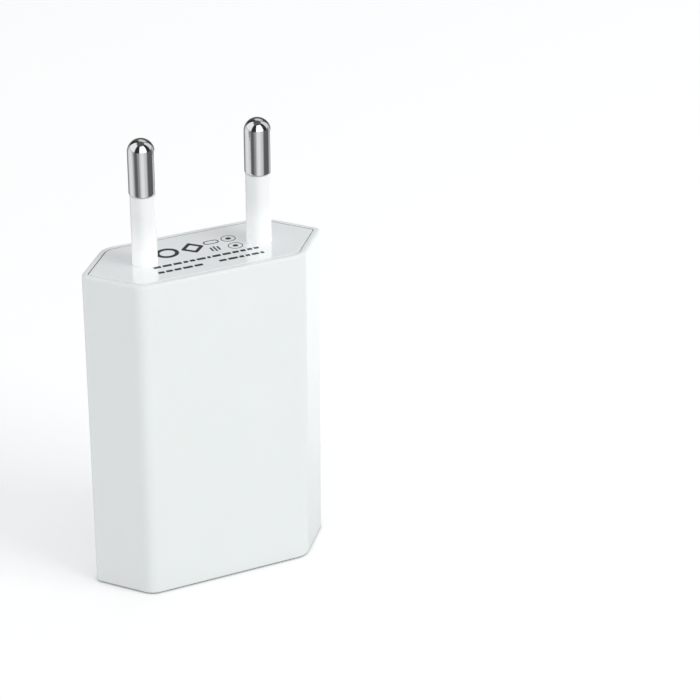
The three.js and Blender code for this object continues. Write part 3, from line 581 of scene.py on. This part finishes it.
# Shrunk polyolefin: matt black, drawn tight with shallow wrinkles round it.
WRINKLE = 0.7
shrink_film, tree, shader, place = new_finish("shrunk_polyolefin")
folds = node(tree, "ShaderNodeTexWave", {
    "Vector": place, "Scale": 1 / (WRINKLE * MM) / 20, "Distortion": 5.0}, bands_direction="Z").outputs["Fac"]
finish_off(tree, shader, tint=(folds, "#1a1a1c", "#242427"), gloss=0.6, relief=(folds, 0.3, 0.05))

# A lead runs down from its lug, out to the side, and back through the board.
lug_end = HEIGHT - LUG_BOTTOM
inner, neck = LUG_RADIUS + SNUG, SHRINK_RADIUS - SHRINK_NECK
shrink_low, shrink_high = lug_end - 0.9, HEIGHT - LUG_TOP - 0.2
shrink = [(inner, shrink_low), (neck, shrink_low), (SHRINK_RADIUS, shrink_low + 0.3),
          (SHRINK_RADIUS, shrink_high - 0.2), (neck, shrink_high), (inner, shrink_high)]
for word, x in pin_x.items():
    side = math.copysign(1, x)
    hole_x, hole_z = side * LEAD_HOLE[0], LEAD_HOLE[1]
    route = [(x, 0, lug_end - 0.05), (x, 0, lug_end - 0.95), (x + side * 0.5, 0.35, lug_end - 1.65)]
    route += [(hole_x, 1.2, hole_z + 0.15), (hole_x, 2.4, hole_z), (hole_x, board_back + 0.6, hole_z)]
    lead = swept(eased(route, 0.7), circle(LEAD_RADIUS, 20), (1, 0, 0))
    piece(f"mains_lead_{word}", [lead], wires[word], [f"lead_wire_{word}"])
    piece(f"shrink_sleeve_{word}", [skin(turned(shrink, x, 0), "joined")], shrink_film,
          [f"shrink_tube_{word}"])

# ---- Circuit board and insulating film ----
# A single-sided board of glass laminate under a green solder mask, held by its edges in the housing's rails.
# An amber polyimide film lies behind it, between the solder joints and the housing.


def dress(name, finish):
    """Gives a CAD node whose shape is right its finish."""
    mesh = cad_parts[name].data
    mesh.materials.clear()
    mesh.materials.append(finish)


# Solder mask over glass cloth: the green is lighter where copper lies under it, in tracks 1.6 mm apart, and
# the 0.45 mm weave of the cloth shows as a faint relief.
TRACK = 1.6
CLOTH = 0.45
board_laminate, tree, shader, place = new_finish("solder_mask_on_glass_laminate")
tracks = node(tree, "ShaderNodeTexVoronoi", {"Vector": place, "Scale": 1 / (TRACK * MM)},
              distance="MANHATTAN", feature="F1").outputs["Distance"]
bare = node(tree, "ShaderNodeMapRange", {"Value": tracks, "From Min": 0.42, "From Max": 0.46}).outputs[0]
cloth = node(tree, "ShaderNodeTexWave", {"Vector": place, "Scale": 1 / (CLOTH * MM) / 20},
             bands_direction="X").outputs["Fac"]
across_cloth = node(tree, "ShaderNodeTexWave", {"Vector": place, "Scale": 1 / (CLOTH * MM) / 20},
                    bands_direction="Z").outputs["Fac"]
weave = node(tree, "ShaderNodeMath", {0: cloth, 1: across_cloth}, operation="MULTIPLY").outputs[0]
finish_off(tree, shader, tint=(bare, "#3b7d52", "#27593a"), gloss=0.3, relief=(weave, 0.15, 0.02))
dress("circuit_board", board_laminate)

# Polyimide film: clear amber, glossy, with slow ripples where it isn't quite flat.
amber_film = mottled("polyimide_film", size=6.0, detail=1.0, tint=("#c8892c", "#dda24a"), gloss=0.15,
                     relief=(0.3, 0.2), even={"Transmission Weight": 0.4, "IOR": 1.7})
dress("insulating_film", amber_film)

# ---- Can capacitors ----
# Aluminium cans with a crimp round the base, in shrunk PVC sleeves that fold over both ends. Four lie along
# the board and one stands on it, each on two tinned legs soldered through the board.

LEG_RADIUS = 0.3
LEG_BEND = 0.6
LEG_ROOT = 0.4  # how far a leg runs into its part
PROUD = 0.7  # how far a leg stands out behind the board
LEG_PITCH = 2.5
SLEEVE_FOLD = 0.65  # width of the sleeve's edge folded over an end
END_DEPTH = 0.08  # how far a can's bare end lies inside that edge

# Tinned copper wire: dull silver, with a fine unevenness where the tin has frozen.
tinned_wire = mottled("tinned_copper_wire", size=0.3, detail=3.0, tint=("#b4b7b8", "#c9cbcb"),
                      gloss=(0.3, 0.5), even={"Metallic": 1.0})

# Drawn aluminium: the can's bare end inside the sleeve's folded edge, satin from the press.
can_end = mottled("drawn_aluminium", size=0.2, detail=3.0, tint=("#c6c8ca", "#d2d4d5"), gloss=(0.25, 0.4),
                  even={"Metallic": 1.0})

# Shrunk PVC sleeve: a thin glossy skin, left plain, that is slightly uneven where it has drawn tight.
sleeves = {word: mottled(f"shrunk_pvc_{word}", size=1.5, detail=3.0, tint=tint, gloss=(0.15, 0.3),
                         relief=(0.1, 0.1))
           for word, tint in (("black", ("#1f232b", "#2a2f38")), ("green", ("#28523f", "#315f4b")))}


def laid(rings, place, axis):
    """Rings made about the upright axis at 0, turned so that up becomes the axis, and moved to a place."""
    x, y, z = np.moveaxis(np.asarray(rings, float), -1, 0)
    turned_to = {"Z": (x, y, z), "-Y": (x, -z, y), "X": (z, y, -x)}[axis]
    return np.stack(turned_to, -1) + np.asarray(place, float)


def can(radius, length, place, axis, crimp=1.3, groove=0.3):
    """A sleeved can and its bare end, made upright and then laid. At the crimp, at height c, its radius is
    less by g e^(-((z - c) / 0.3)^2)."""
    round_base = quarter(0.35, 0.35, 0.35, -90, 4)
    height = np.linspace(0.5, crimp + 0.9, 14)
    inset = groove * np.exp(-((height - crimp) ** 2) / 0.09)
    round_top = quarter(0.3, length - 0.3, 0.3, 0, 4)
    rows = [(radius - SLEEVE_FOLD, 0.0), *[(radius - i, z) for i, z in round_base]]
    rows += [*zip(radius - inset, height), *[(radius - i, z) for i, z in round_top]]
    rows += [(radius - SLEEVE_FOLD, length)]
    ends = [(radius - SLEEVE_FOLD, length - END_DEPTH), (radius - SLEEVE_FOLD, END_DEPTH)]
    shell, metal = turned([*rows, *ends], 0, 0), turned(ends[::-1], 0, 0)
    return skin(laid(shell, place, axis), "joined"), skin(laid(metal, place, axis))


def bent_leg(x, start, toward, depth, reach):
    """A leg out of a part's end at height start, bent to go through the board. Depth is the leg's y."""
    end = start + toward * reach
    path = [(x, depth, start - toward * LEG_ROOT), (x, depth, end), (x, board_back + PROUD, end)]
    return swept(eased(path, LEG_BEND), circle(LEG_RADIUS, 12), (1, 0, 0))


def straight_leg(x, z, top):
    """A leg from y = top straight back through the board."""
    return swept([(x, top, z), (x, board_back + PROUD, z)], circle(LEG_RADIUS, 12), (1, 0, 0))


LEG_REACH = 1.0  # from a lying can's base to its legs' bend
for job, paint in (("output", "green"), ("bulk", "black")):
    for word in ("left", "right"):
        name = f"{job}_capacitor_{word}"
        low, high = box_of(name)
        radius, x = (high[0] - low[0]) / 2, (low[0] + high[0]) / 2
        depth = low[1] + radius
        base = low[2] + LEG_REACH + LEG_RADIUS
        shell, metal = can(radius, high[2] - base, (x, depth, base), "Z")
        legs = [bent_leg(x + side * LEG_PITCH / 2, base, -1, depth, LEG_REACH) for side in (-1, 1)]
        piece(f"{name}_can", [shell, metal, *legs], [sleeves[paint], can_end, tinned_wire, tinned_wire],
              [name])

STANDING_GAP = 0.3  # from the board to the base of the can that stands on it
STANDING_PITCH = 1.5
low, high = box_of("supply_capacitor")
x, z = (low[0] + high[0]) / 2, (low[2] + high[2]) / 2
foot = board_face - STANDING_GAP
shell, metal = can((high[0] - low[0]) / 2, foot - low[1], (x, foot, z), "-Y", crimp=1.05, groove=0.2)
legs = [straight_leg(x, z + side * STANDING_PITCH / 2, foot - LEG_ROOT / 2) for side in (-1, 1)]
piece("supply_capacitor_can", [shell, metal, *legs], [sleeves["black"], can_end, tinned_wire, tinned_wire],
      ["supply_capacitor"])

# ---- Dipped parts ----
# The fusible resistor, the axial choke and the ceramic disc that bridges the isolation gap. Each is dipped in
# lacquer that rounds it over and runs a little way down its tinned legs.


def lacquer(name, tint, roughness):
    """A dipped coat: nearly one colour, with orange peel of about 0.5 mm in its gloss."""
    return mottled(name, size=0.5, detail=2.0, tint=tint, gloss=roughness, relief=(0.25, 0.04))


END_CAP = 0.9  # length of the cap that each end swells over


def axial_body(radius, half):
    """A dipped body that swells over its end caps. Its waist is a tenth thinner, by a squared cosine."""
    turn = np.radians(np.linspace(-90, 90, 41))
    along = half * np.sin(turn)
    swell = radius * (1 - 0.1 * np.cos(np.clip(along / (half - END_CAP), -1, 1) * np.pi / 2) ** 2)
    return np.stack([swell * np.minimum(1, np.cos(turn) * 2.6) ** 0.6, along], -1)


DIPPED_REACH = 0.9  # from a dipped body's end to its leg's bend
low, high = box_of("fusible_resistor")
radius, x = (high[0] - low[0]) / 2, (low[0] + high[0]) / 2
depth, middle = low[1] + radius, (low[2] + high[2]) / 2
half = (high[2] - low[2]) / 2 - DIPPED_REACH - LEG_RADIUS
grey_lacquer = lacquer("grey_fireproof_lacquer", ("#838a86", "#969d98"), 0.6)
body = skin(turned(axial_body(radius, half), x, depth) + [0, 0, middle])
legs = [bent_leg(x, middle + side * half, side, depth, DIPPED_REACH) for side in (-1, 1)]
piece("fusible_resistor_body", [body, *legs], [grey_lacquer, tinned_wire, tinned_wire],
      ["fusible_resistor"])

CHOKE_RADIUS = 1.2
low, high = box_of("filter_choke")
depth, height = low[1] + CHOKE_RADIUS, (low[2] + high[2]) / 2
half = (high[0] - low[0]) / 2 - DIPPED_REACH - LEG_RADIUS
green_lacquer = lacquer("green_epoxy_lacquer", ("#4a7a55", "#578a62"), 0.4)
body = skin(laid(turned(axial_body(CHOKE_RADIUS, half), 0, 0), (0, depth, height), "X"))
legs = []
for side in (-1, 1):
    end = side * (half + DIPPED_REACH)
    path = [(side * (half - LEG_ROOT), depth, height), (end, depth, height),
            (end, board_back + PROUD, height)]
    legs.append(swept(eased(path, LEG_BEND), circle(LEG_RADIUS, 12), (0, 0, 1)))
piece("filter_choke_body", [body, *legs], [green_lacquer, tinned_wire, tinned_wire],
      ["filter_choke"])

DISC_HALF = 1.3
DISC_LEGS = 1.6  # across and up from the disc's middle
DISC_LEG_TOP = 1.5  # off the board, inside the disc
low, high = box_of("y_capacitor")
x, z = (low[0] + high[0]) / 2, (low[2] + high[2]) / 2
turn = np.radians(np.linspace(-90, 90, 33))
disc_radius = (high[0] - low[0]) / 2
disc = np.stack([disc_radius * np.cos(turn) ** 0.45, DISC_HALF * np.sin(turn)], -1)
blue_ceramic = lacquer("blue_dipped_ceramic", ("#2c5da2", "#3a6cb0"), 0.3)
body = skin(laid(turned(disc, 0, 0), (x, low[1] + DISC_HALF, z), "-Y"))
legs = [straight_leg(x + side * DISC_LEGS, z + side * DISC_LEGS, board_face - DISC_LEG_TOP)
        for side in (-1, 1)]
piece("y_capacitor_disc", [body, *legs], [blue_ceramic, tinned_wire, tinned_wire],
      ["y_capacitor"])

# ---- Transformer ----
# Two sintered ferrite E halves glued through a black phenolic bobbin. The coil is enamelled copper wire,
# wound in layers and closed with yellow polyester tape.

# Sintered ferrite: dark grey and matt, with a speckle of ground grains of 0.3 mm.
ferrite, tree, shader, place = new_finish("sintered_ferrite")
grains = node(tree, "ShaderNodeTexVoronoi", {"Vector": place, "Scale": 1 / (0.3 * MM)}).outputs["Distance"]
finish_off(tree, shader, tint=(grains, "#3f3f42", "#2f2f31"), gloss=0.65, relief=(grains, 0.2, 0.02))
for word in ("left", "right"):
    dress(f"transformer_core_{word}", ferrite)

# Moulded phenolic and moulding epoxy: black, half matt, with a fine eroded grain. They differ in their gloss.
black_plastics = {word: mottled(f"moulded_{word}", size=0.15, detail=3.0, tint=("#18191b", "#242527"),
                                gloss=roughness, relief=(0.3, 0.01))
                  for word, roughness in (("phenolic", 0.35), ("epoxy", 0.5))}
dress("transformer_bobbin", black_plastics["phenolic"])

# Enamelled copper: turns 0.3 mm apart side by side, with the enamel's red-brown shine over the metal.
TURN_PITCH = 0.3
coil_wire, tree, shader, place = new_finish("enamelled_copper")
turns = node(tree, "ShaderNodeTexWave", {"Vector": place, "Scale": 1 / (TURN_PITCH * MM) / 20},
             bands_direction="X").outputs["Fac"]
finish_off(tree, shader, tint=(turns, "#7a3418", "#b5623a"), gloss=0.3, relief=(turns, 0.8, 0.1),
           even={"Metallic": 0.8})

# Polyester tape: clear yellow, glossy, with slack ripples of about 1.5 mm along its turns.
coil_tape = mottled("polyester_tape", size=1.5, detail=1.0, tint=("#d9ad28", "#e8c451"), gloss=0.2,
                    relief=(0.4, 0.1))

BAND_CORNER = 1.2


def band(name, thickness):
    """A square tube about X that fills a node's box, with round corners and quarter rounds on its edges."""
    low, high = box_of(name)
    half, middle = (high - low) / 2, (high + low) / 2
    take = min(0.1, thickness / 2.5)
    rows = [(thickness, half[0]), *quarter(take, half[0] - take, take, 0, 3)[::-1]]
    rows += [*[(i, -z) for i, z in quarter(take, half[0] - take, take, 0, 3)], (thickness, -half[0])]
    rings = []
    for inset, along in rows:
        ring = rounded_box(half[1] - inset, half[2] - inset, max(BAND_CORNER - inset, 0.05), along)
        rings.append(np.stack([ring[:, 2], ring[:, 0], ring[:, 1]], -1) + middle)
    return skin(rings, "joined")


COIL_THICKNESS = 1.2
TAPE_THICKNESS = 0.22
piece("coil_of_wire", [band("transformer_winding", COIL_THICKNESS)], coil_wire,
      ["transformer_winding"])
piece("coil_wrapping", [band("transformer_tape", TAPE_THICKNESS)], coil_tape,
      ["transformer_tape"])

# ---- Surface-mounted parts ----
# The controller, the bridge, the diode and the chip resistors, moulded in black epoxy on tinned legs, and one
# grey ceramic capacitor. All are soldered flat on the board.

for name in ("controller_chip", "bridge_rectifier", "output_diode", "load_resistor", "feedback_resistor",
             "snubber_resistor"):
    dress(name, black_plastics["epoxy"])

# Fired ceramic: warm grey, slightly rough, with a faint speckle.
chip_ceramic = mottled("fired_ceramic", size=0.2, detail=3.0, tint=("#85807a", "#9a948c"), gloss=0.55)
dress("snubber_capacitor", chip_ceramic)

# ---- USB socket shell ----
# Tinned steel sheet, folded into a tube, with its back turned over. Four spring tabs are cut from its broad
# walls and bent inwards to grip the plug, and four legs run on from its side walls to be soldered through the
# board.

socket_low = shell_low[2]
socket_back = shell_high[2] - SHEET / 2
wall_x, wall_y = (half + SHEET / 2 for half in PORT_INSIDE)  # the middle of the sheet
FOLD_RADIUS = 0.3
FOLD_STEPS = 5
SPRING_X = 3.1
SPRING_HALF = 1.2
SPRING_SLOT = 1.5  # half width of the hole that a tab is cut from
SLOT_LOW, SLOT_HIGH = 2.7, 9.0  # heights in the socket are from its mouth
SPRING_TIP = 3.2
SPRING_IN = 0.45
TIP_IN = 0.12
LEG_HEIGHTS = ((2.9, 4.3), (9.1, 10.5))
TAIL_NOTCH = 5.0  # half width of the gap in the back that the contacts' tails leave by
NOTCH_LOW = 11.3
INNER_LINE, MIDDLE_LINE = 0.8, 6.6  # one more row of points each way, where the sheet is widest and longest

straight_x, straight_y = wall_x - FOLD_RADIUS, wall_y - FOLD_RADIUS
tab_lines = np.array([-SPRING_SLOT, -SPRING_HALF, -SPRING_HALF / 2, 0, SPRING_HALF / 2, SPRING_HALF,
                      SPRING_SLOT])
right_lines = np.sort([INNER_LINE, *(SPRING_X + tab_lines), TAIL_NOTCH, straight_x])
lines = np.concatenate([-right_lines[::-1], [0.0], right_lines])
turn = np.radians(np.linspace(0, 90, FOLD_STEPS + 1))[1:-1]
arcs = [(straight_x * a + FOLD_RADIUS * np.cos(turn + t), straight_y * b + FOLD_RADIUS * np.sin(turn + t))
        for a, b, t in ((1, -1, -np.pi / 2), (1, 1, 0), (-1, 1, np.pi / 2), (-1, -1, np.pi))]
side_line = np.array([-straight_y, 0, straight_y])
ring_x = np.concatenate([lines, arcs[0][0], 0 * side_line + wall_x, arcs[1][0], lines[::-1], arcs[2][0],
                         0 * side_line - wall_x, arcs[3][0]])
ring_y = np.concatenate([0 * lines - wall_y, arcs[0][1], side_line, arcs[1][1], 0 * lines + wall_y,
                         arcs[2][1], -side_line, arcs[3][1]])
heights = np.sort([0.0, SLOT_LOW, *np.ravel(LEG_HEIGHTS), MIDDLE_LINE, SLOT_HIGH, NOTCH_LOW])
depth = np.radians(np.linspace(0, 90, FOLD_STEPS + 1))
insets = np.concatenate([0 * heights, FOLD_RADIUS * (1 - np.cos(depth))])
back_middle = socket_back - socket_low
heights = np.concatenate([heights, back_middle - FOLD_RADIUS * (1 - np.sin(depth))])
rings = np.stack([ring_x * (1 - insets[:, None] / wall_x), ring_y * (1 - insets[:, None] / wall_y),
                  0 * ring_x + heights[:, None] + socket_low], -1)
points, faces = skin(rings, "open")
middles = points[np.array(faces)].mean(1) - [0, 0, socket_low]
x, y, z = np.abs(middles[:, 0]), middles[:, 1], middles[:, 2]
on_broad_wall = np.abs(np.abs(y) - wall_y) < 0.01
slotted = on_broad_wall & (np.abs(x - SPRING_X) < SPRING_SLOT) & (z > SLOT_LOW) & (z < SLOT_HIGH)
notched = (y > straight_y - FOLD_RADIUS) & (x < TAIL_NOTCH) & (z > NOTCH_LOW)
at_leg = np.any([(z > low) & (z < high) for low, high in LEG_HEIGHTS], 0)
legged = at_leg & (x > straight_x) & (y > straight_y)
faces = [face for face, gone in zip(faces, slotted | notched | legged) if not gone]
faces.append(list(range(len(points) - len(ring_x), len(points))))
sheets = [(points, faces)]


def cut_strip(rows):
    """An open strip through rows of points: a skin less the faces that join its last column to its first."""
    points, faces = skin(rows, "open")
    columns = len(rows[0])
    return points, [face for number, face in enumerate(faces, 1) if number % columns]


# A tab: along it, s runs 0 to 1 from its root. It bends in by a cosine ease until s = BEND_END, then back out
# by a square, narrows evenly, and has a rounded tip.
BEND_END = 0.76
ROUND_START = 0.92
s = np.linspace(0, 1, 15)[:, None]
bend_in = np.where(s < BEND_END, SPRING_IN * (1 - np.cos(np.pi * s / BEND_END)) / 2,
                   SPRING_IN - (SPRING_IN - TIP_IN) * ((s - BEND_END) / (1 - BEND_END)) ** 2)
narrow = (1 - 0.3 * s) * np.sqrt(1 - 0.75 * np.clip((s - ROUND_START) / (1 - ROUND_START), 0, 1) ** 2)
for side in (-1, 1):
    for middle in (-SPRING_X, SPRING_X):
        x = middle + narrow * tab_lines[1:-1]
        y = side * (wall_y - bend_in) + 0 * x
        z = socket_low + SLOT_HIGH - s * (SLOT_HIGH - SPRING_TIP) + 0 * x
        sheets.append(cut_strip(np.stack([x, y, z], -1)))
POINT = 0.35  # how far a leg's end narrows at each side
for side in (-1, 1):
    for low, high in LEG_HEIGHTS:
        reach = np.array([straight_y, straight_y + 0.8, board_back + 0.3, board_back + PROUD])[:, None]
        z = socket_low + np.array([low, high]) + np.array([0, 0, 0, POINT])[:, None] * [1, -1]
        sheets.append(cut_strip(np.stack([0 * z + side * wall_x, reach + 0 * z, z], -1)))

# Tinned steel: silvery, with rolling lines 0.12 mm apart on the real one, drawn 0.3 mm so that they show.
ROLLING = 0.3
shell_steel = mottled("tinned_steel_sheet", size=ROLLING, detail=3.0, tint=("#a9adb0", "#bcc0c2"),
                      gloss=(0.22, 0.38), relief=(0.1, 0.01), even={"Metallic": 1.0},
                      stretch=(1.0, 1.0, 0.05))
socket_shell = piece("usb_socket_shell", sheets, shell_steel, ["usb_shell"])
wall = socket_shell.modifiers.new("sheet", "SOLIDIFY")
wall.thickness = SHEET * MM
wall.offset = 0.0

# ---- USB tongue and contacts ----
# A white glass-filled nylon moulding: a block that fills the shell's back, and a tongue with four grooves. In
# each groove lies one sprung strip of gold-flashed bronze, whose tail turns down through the board.

contact_boxes = [np.array(box_of(f"usb_contact_{i}")) for i in range(1, 5)]
contact_x = sorted((box[:, 0].mean() for box in contact_boxes), reverse=True)
tongue_low, tongue_high = box_of("usb_tongue")
TONGUE = (5.55, -1.9, -0.06)  # half width, and the y of its two faces
TONGUE_FRONT = 1.9
GROOVE_FRONT = 2.6
GROOVE_HALF = 0.65
GROOVE_FLOOR = -1.25
BLOCK_FRONT = 10.9
SLOT_FLOOR = -0.8
SLOT_BACK = 12.95
NIP = 0.15  # chamfer round the tongue's front
TONGUE_ROOT = 0.5  # how far the tongue runs into the block


def grooved(half_width, low_y, high_y, floor_y, height, nip=0.0):
    """One ring round a bar's outline, with a square groove under each contact, down to floor_y."""
    half_width, low_y, high_y = half_width - nip, low_y + nip, high_y - nip
    floor_y = min(floor_y, high_y)
    top = [[x + side * GROOVE_HALF, y] for x in contact_x for side, y in
           ((1, high_y), (1, floor_y), (-1, floor_y), (-1, high_y))]
    ring = np.array([[-half_width, low_y], [half_width, low_y], [half_width, high_y], *top,
                     [-half_width, high_y]])
    return np.concatenate([ring, np.full((len(ring), 1), socket_low + height)], 1)


half_block = (tongue_high[0] - tongue_low[0]) / 2
ungrooved = TONGUE[2]
tongue = skin([
    grooved(*TONGUE, ungrooved, TONGUE_FRONT, NIP), grooved(*TONGUE, ungrooved, TONGUE_FRONT + NIP),
    grooved(*TONGUE, ungrooved, GROOVE_FRONT), grooved(*TONGUE, GROOVE_FLOOR, GROOVE_FRONT),
    grooved(*TONGUE, GROOVE_FLOOR, BLOCK_FRONT + TONGUE_ROOT),
])
block_y = tongue_low[1], tongue_high[1]
block_back = tongue_high[2] - socket_low
back_block = skin([
    grooved(half_block, *block_y, floor_y, height) for floor_y, height in
    ((SLOT_FLOOR, BLOCK_FRONT), (SLOT_FLOOR, SLOT_BACK), (block_y[1], SLOT_BACK), (block_y[1], block_back))
])

# Glass-filled nylon: white and nearly matt, with short fibres of 0.3 mm that run along the tongue.
tongue_plastic = mottled("glass_filled_nylon", size=0.3, detail=3.0, tint=("#eef0ef", "#f8f9f8"), gloss=0.45,
                         relief=(0.15, 0.02), stretch=(1.0, 1.0, 0.2))
piece("usb_contact_carrier", [tongue, back_block], tongue_plastic, ["usb_tongue"])

# Gold flash over nickel on bronze strip: a warm bright metal, with fine scratches along it from the press.
contact_plate = mottled("gold_flashed_bronze", size=0.15, detail=2.0, tint=("#cfa54c", "#e0be6e"),
                        gloss=(0.15, 0.3), even={"Metallic": 1.0}, stretch=(1.0, 0.1, 0.1))

CONTACT_HALF = (0.5, 0.1)
tail = 12.65
strip = [(-0.42, 3.2), (0.02, 4.3), (0.2, 5.4), (0.02, 6.6), (-0.43, 10.15), (-0.45, 11.05), (-0.45, tail),
         (board_back + PROUD, tail)]  # y and height in the socket
section = rounded_box(*CONTACT_HALF, 0.04, 0.0, points=24)[:, :2]
for number, box in enumerate(contact_boxes, 1):
    path = [(box[:, 0].mean(), y, socket_low + z) for y, z in strip]
    piece(f"contact_spring_{number}", [swept(eased(path, 0.8), section, (1, 0, 0))], contact_plate,
          [f"usb_contact_{number}"])

# ---- Studio ----
# A pale floor, soft light from all round with a stronger side from the right, and for the mirror-bright
# pins a surround of pale panels with dark gaps between them.

CAMERA_AZIMUTH = -25.85
CAMERA_ELEVATION = 27.15
CAMERA_DISTANCE = 399.8
CAMERA_TARGET = np.array([23.84, 0.0, 29.81])


def stood_off(made, azimuth, elevation, distance, target):
    """Puts a camera or a light off from its target, on an azimuth and elevation, and turns it to face it."""
    a, e = math.radians(azimuth), math.radians(elevation)
    away = np.array([math.sin(a) * math.cos(e), -math.cos(a) * math.cos(e), math.sin(e)])
    made.location = (target + away * distance) * MM
    made.rotation_euler = (math.radians(90) - e, 0.0, a)
    bpy.context.scene.collection.objects.link(made)


lens = bpy.data.cameras.new("camera")
lens.lens = 134.5
lens.sensor_width = 36.0
lens.clip_start = 0.01
camera = bpy.data.objects.new("camera", lens)
stood_off(camera, CAMERA_AZIMUTH, CAMERA_ELEVATION, CAMERA_DISTANCE, CAMERA_TARGET)
bpy.context.scene.camera = camera

FLOOR_REACH = 4000.0
GLOW = 0.1  # lifts the floor, for the camera only, to the white of the backdrop
floor_mesh = bpy.data.meshes.new("floor")
corners = np.array([[-1, -1, 0], [1, -1, 0], [1, 1, 0], [-1, 1, 0]]) * FLOOR_REACH * MM
floor_mesh.from_pydata(corners, [], [[0, 1, 2, 3]])
floor = bpy.data.objects.new("floor", floor_mesh)
bpy.context.scene.collection.objects.link(floor)
floor.visible_glossy = False
floor_paint, tree, shader, place = new_finish("white_sweep")
set_even(shader, {"Base Color": colour("#fdfdfd"), "Roughness": 0.9, "Specular IOR Level": 0.0,
                  "Emission Color": colour("#ffffff")})
seen_by = node(tree, "ShaderNodeLightPath")
glow = node(tree, "ShaderNodeMath", {0: seen_by.outputs["Is Camera Ray"], 1: GLOW}, operation="MULTIPLY")
tree.links.new(glow.outputs[0], shader.inputs["Emission Strength"])
floor_mesh.materials.append(floor_paint)
floor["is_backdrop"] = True

# One soft light from the right, which shows in no reflection.
soft_box = bpy.data.lights.new("right_light", "AREA")
soft_box.shape = "SQUARE"
soft_box.size = 0.5  # metres
soft_box.energy = 2.35  # watts
right_light = bpy.data.objects.new("right_light", soft_box)
right_light.visible_glossy = False
right_light.visible_camera = False
stood_off(right_light, azimuth=38, elevation=35, distance=900, target=np.array([0, 0, HEIGHT / 2]))

# Panels round the pins, in tiers. A tier is its middle elevation, half height and softness, with a row for
# each panel: its azimuth from the camera's, half width, softness and brightness. What no panel covers is the
# tier's own dark.
TIERS = {
    "low": ((-40, 47, 8), 0.14, [
        (14, 26, 40, 1.0), (30, 24, 24, 0.78), (-22, 8, 12, 0.34), (-96, 34, 50, 0.98), (126, 16, 24, 0.7),
        (-168, 24, 12, 0.33)]),
    "high": ((36, 28, 6), 0.03, [
        (25, 31, 6, 1.9), (-87, 36, 8, 1.1), (115, 20, 8, 0.9), (180, 34, 20, 0.11)]),
    "back": ((50, 14, 8), 0.0, [(170, 28, 8, 0.8)]),
    "sweep": ((-24, 6, 7), 0.0, [(157, 11, 7, 1.8)]),
    "ceiling": ((78, 14, 10), 0.12, []),
}
world = bpy.data.worlds.new("studio")
bpy.context.scene.world = world
world.use_nodes = True
tree = world.node_tree
tree.nodes.clear()
outward = node(tree, "ShaderNodeTexCoord").outputs["Generated"]
toward = node(tree, "ShaderNodeVectorRotate", {"Vector": outward, "Angle": math.radians(90 - CAMERA_AZIMUTH)},
              rotation_type="Z_AXIS")
split = node(tree, "ShaderNodeSeparateXYZ", {"Vector": toward.outputs["Vector"]})
around = node(tree, "ShaderNodeMath", {0: split.outputs["Y"], 1: split.outputs["X"]}, operation="ARCTAN2")
rise = node(tree, "ShaderNodeMath", {0: split.outputs["Z"]}, operation="ARCSINE")


def window(angle, middle, half, soft, brightness=1.0):
    """The brightness within half of the middle of an angle, in degrees, and 0 outside, eased over soft."""
    off = node(tree, "ShaderNodeMath", {0: angle.outputs[0], 1: math.radians(middle)}, operation="SUBTRACT")
    lap = node(tree, "ShaderNodeMath", {0: off.outputs[0], 1: math.pi, 2: -math.pi}, operation="WRAP")
    gap = node(tree, "ShaderNodeMath", {0: lap.outputs[0]}, operation="ABSOLUTE")
    near, far = math.radians(half - soft / 2), math.radians(half + soft / 2)
    return node(tree, "ShaderNodeMapRange", {"Value": gap.outputs[0], "From Min": near, "From Max": far,
                                             "To Min": brightness, "To Max": 0.0},
                interpolation_type="SMOOTHSTEP").outputs["Result"]


total = 0.0
for height, dark, row in TIERS.values():
    tier = dark
    for panel in row:
        shine = window(around, *panel)
        tier = node(tree, "ShaderNodeMath", {0: shine, 1: tier}, operation="MAXIMUM").outputs[0]
    shown = node(tree, "ShaderNodeMath", {0: window(rise, *height), 1: tier}, operation="MULTIPLY").outputs[0]
    total = node(tree, "ShaderNodeMath", {0: shown, 1: total}, operation="MAXIMUM").outputs[0]
path = node(tree, "ShaderNodeLightPath")
SKY = 0.79
backdrop = node(tree, "ShaderNodeBackground", {"Color": colour("#ffffff"), "Strength": 1.0})
sky = node(tree, "ShaderNodeBackground", {"Color": colour("#fdfeff"), "Strength": SKY})
panels = node(tree, "ShaderNodeBackground", {"Color": colour("#fbfdfd"), "Strength": total})
mirrored, looked_at = path.outputs["Is Glossy Ray"], path.outputs["Is Camera Ray"]
lit = node(tree, "ShaderNodeMixShader", {"Fac": mirrored, 1: sky.outputs[0], 2: panels.outputs[0]})
seen = node(tree, "ShaderNodeMixShader", {"Fac": looked_at, 1: lit.outputs[0], 2: backdrop.outputs[0]})
node(tree, "ShaderNodeOutputWorld", {"Surface": seen.outputs[0]})

bpy.context.scene.view_settings.view_transform = "Standard"

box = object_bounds()
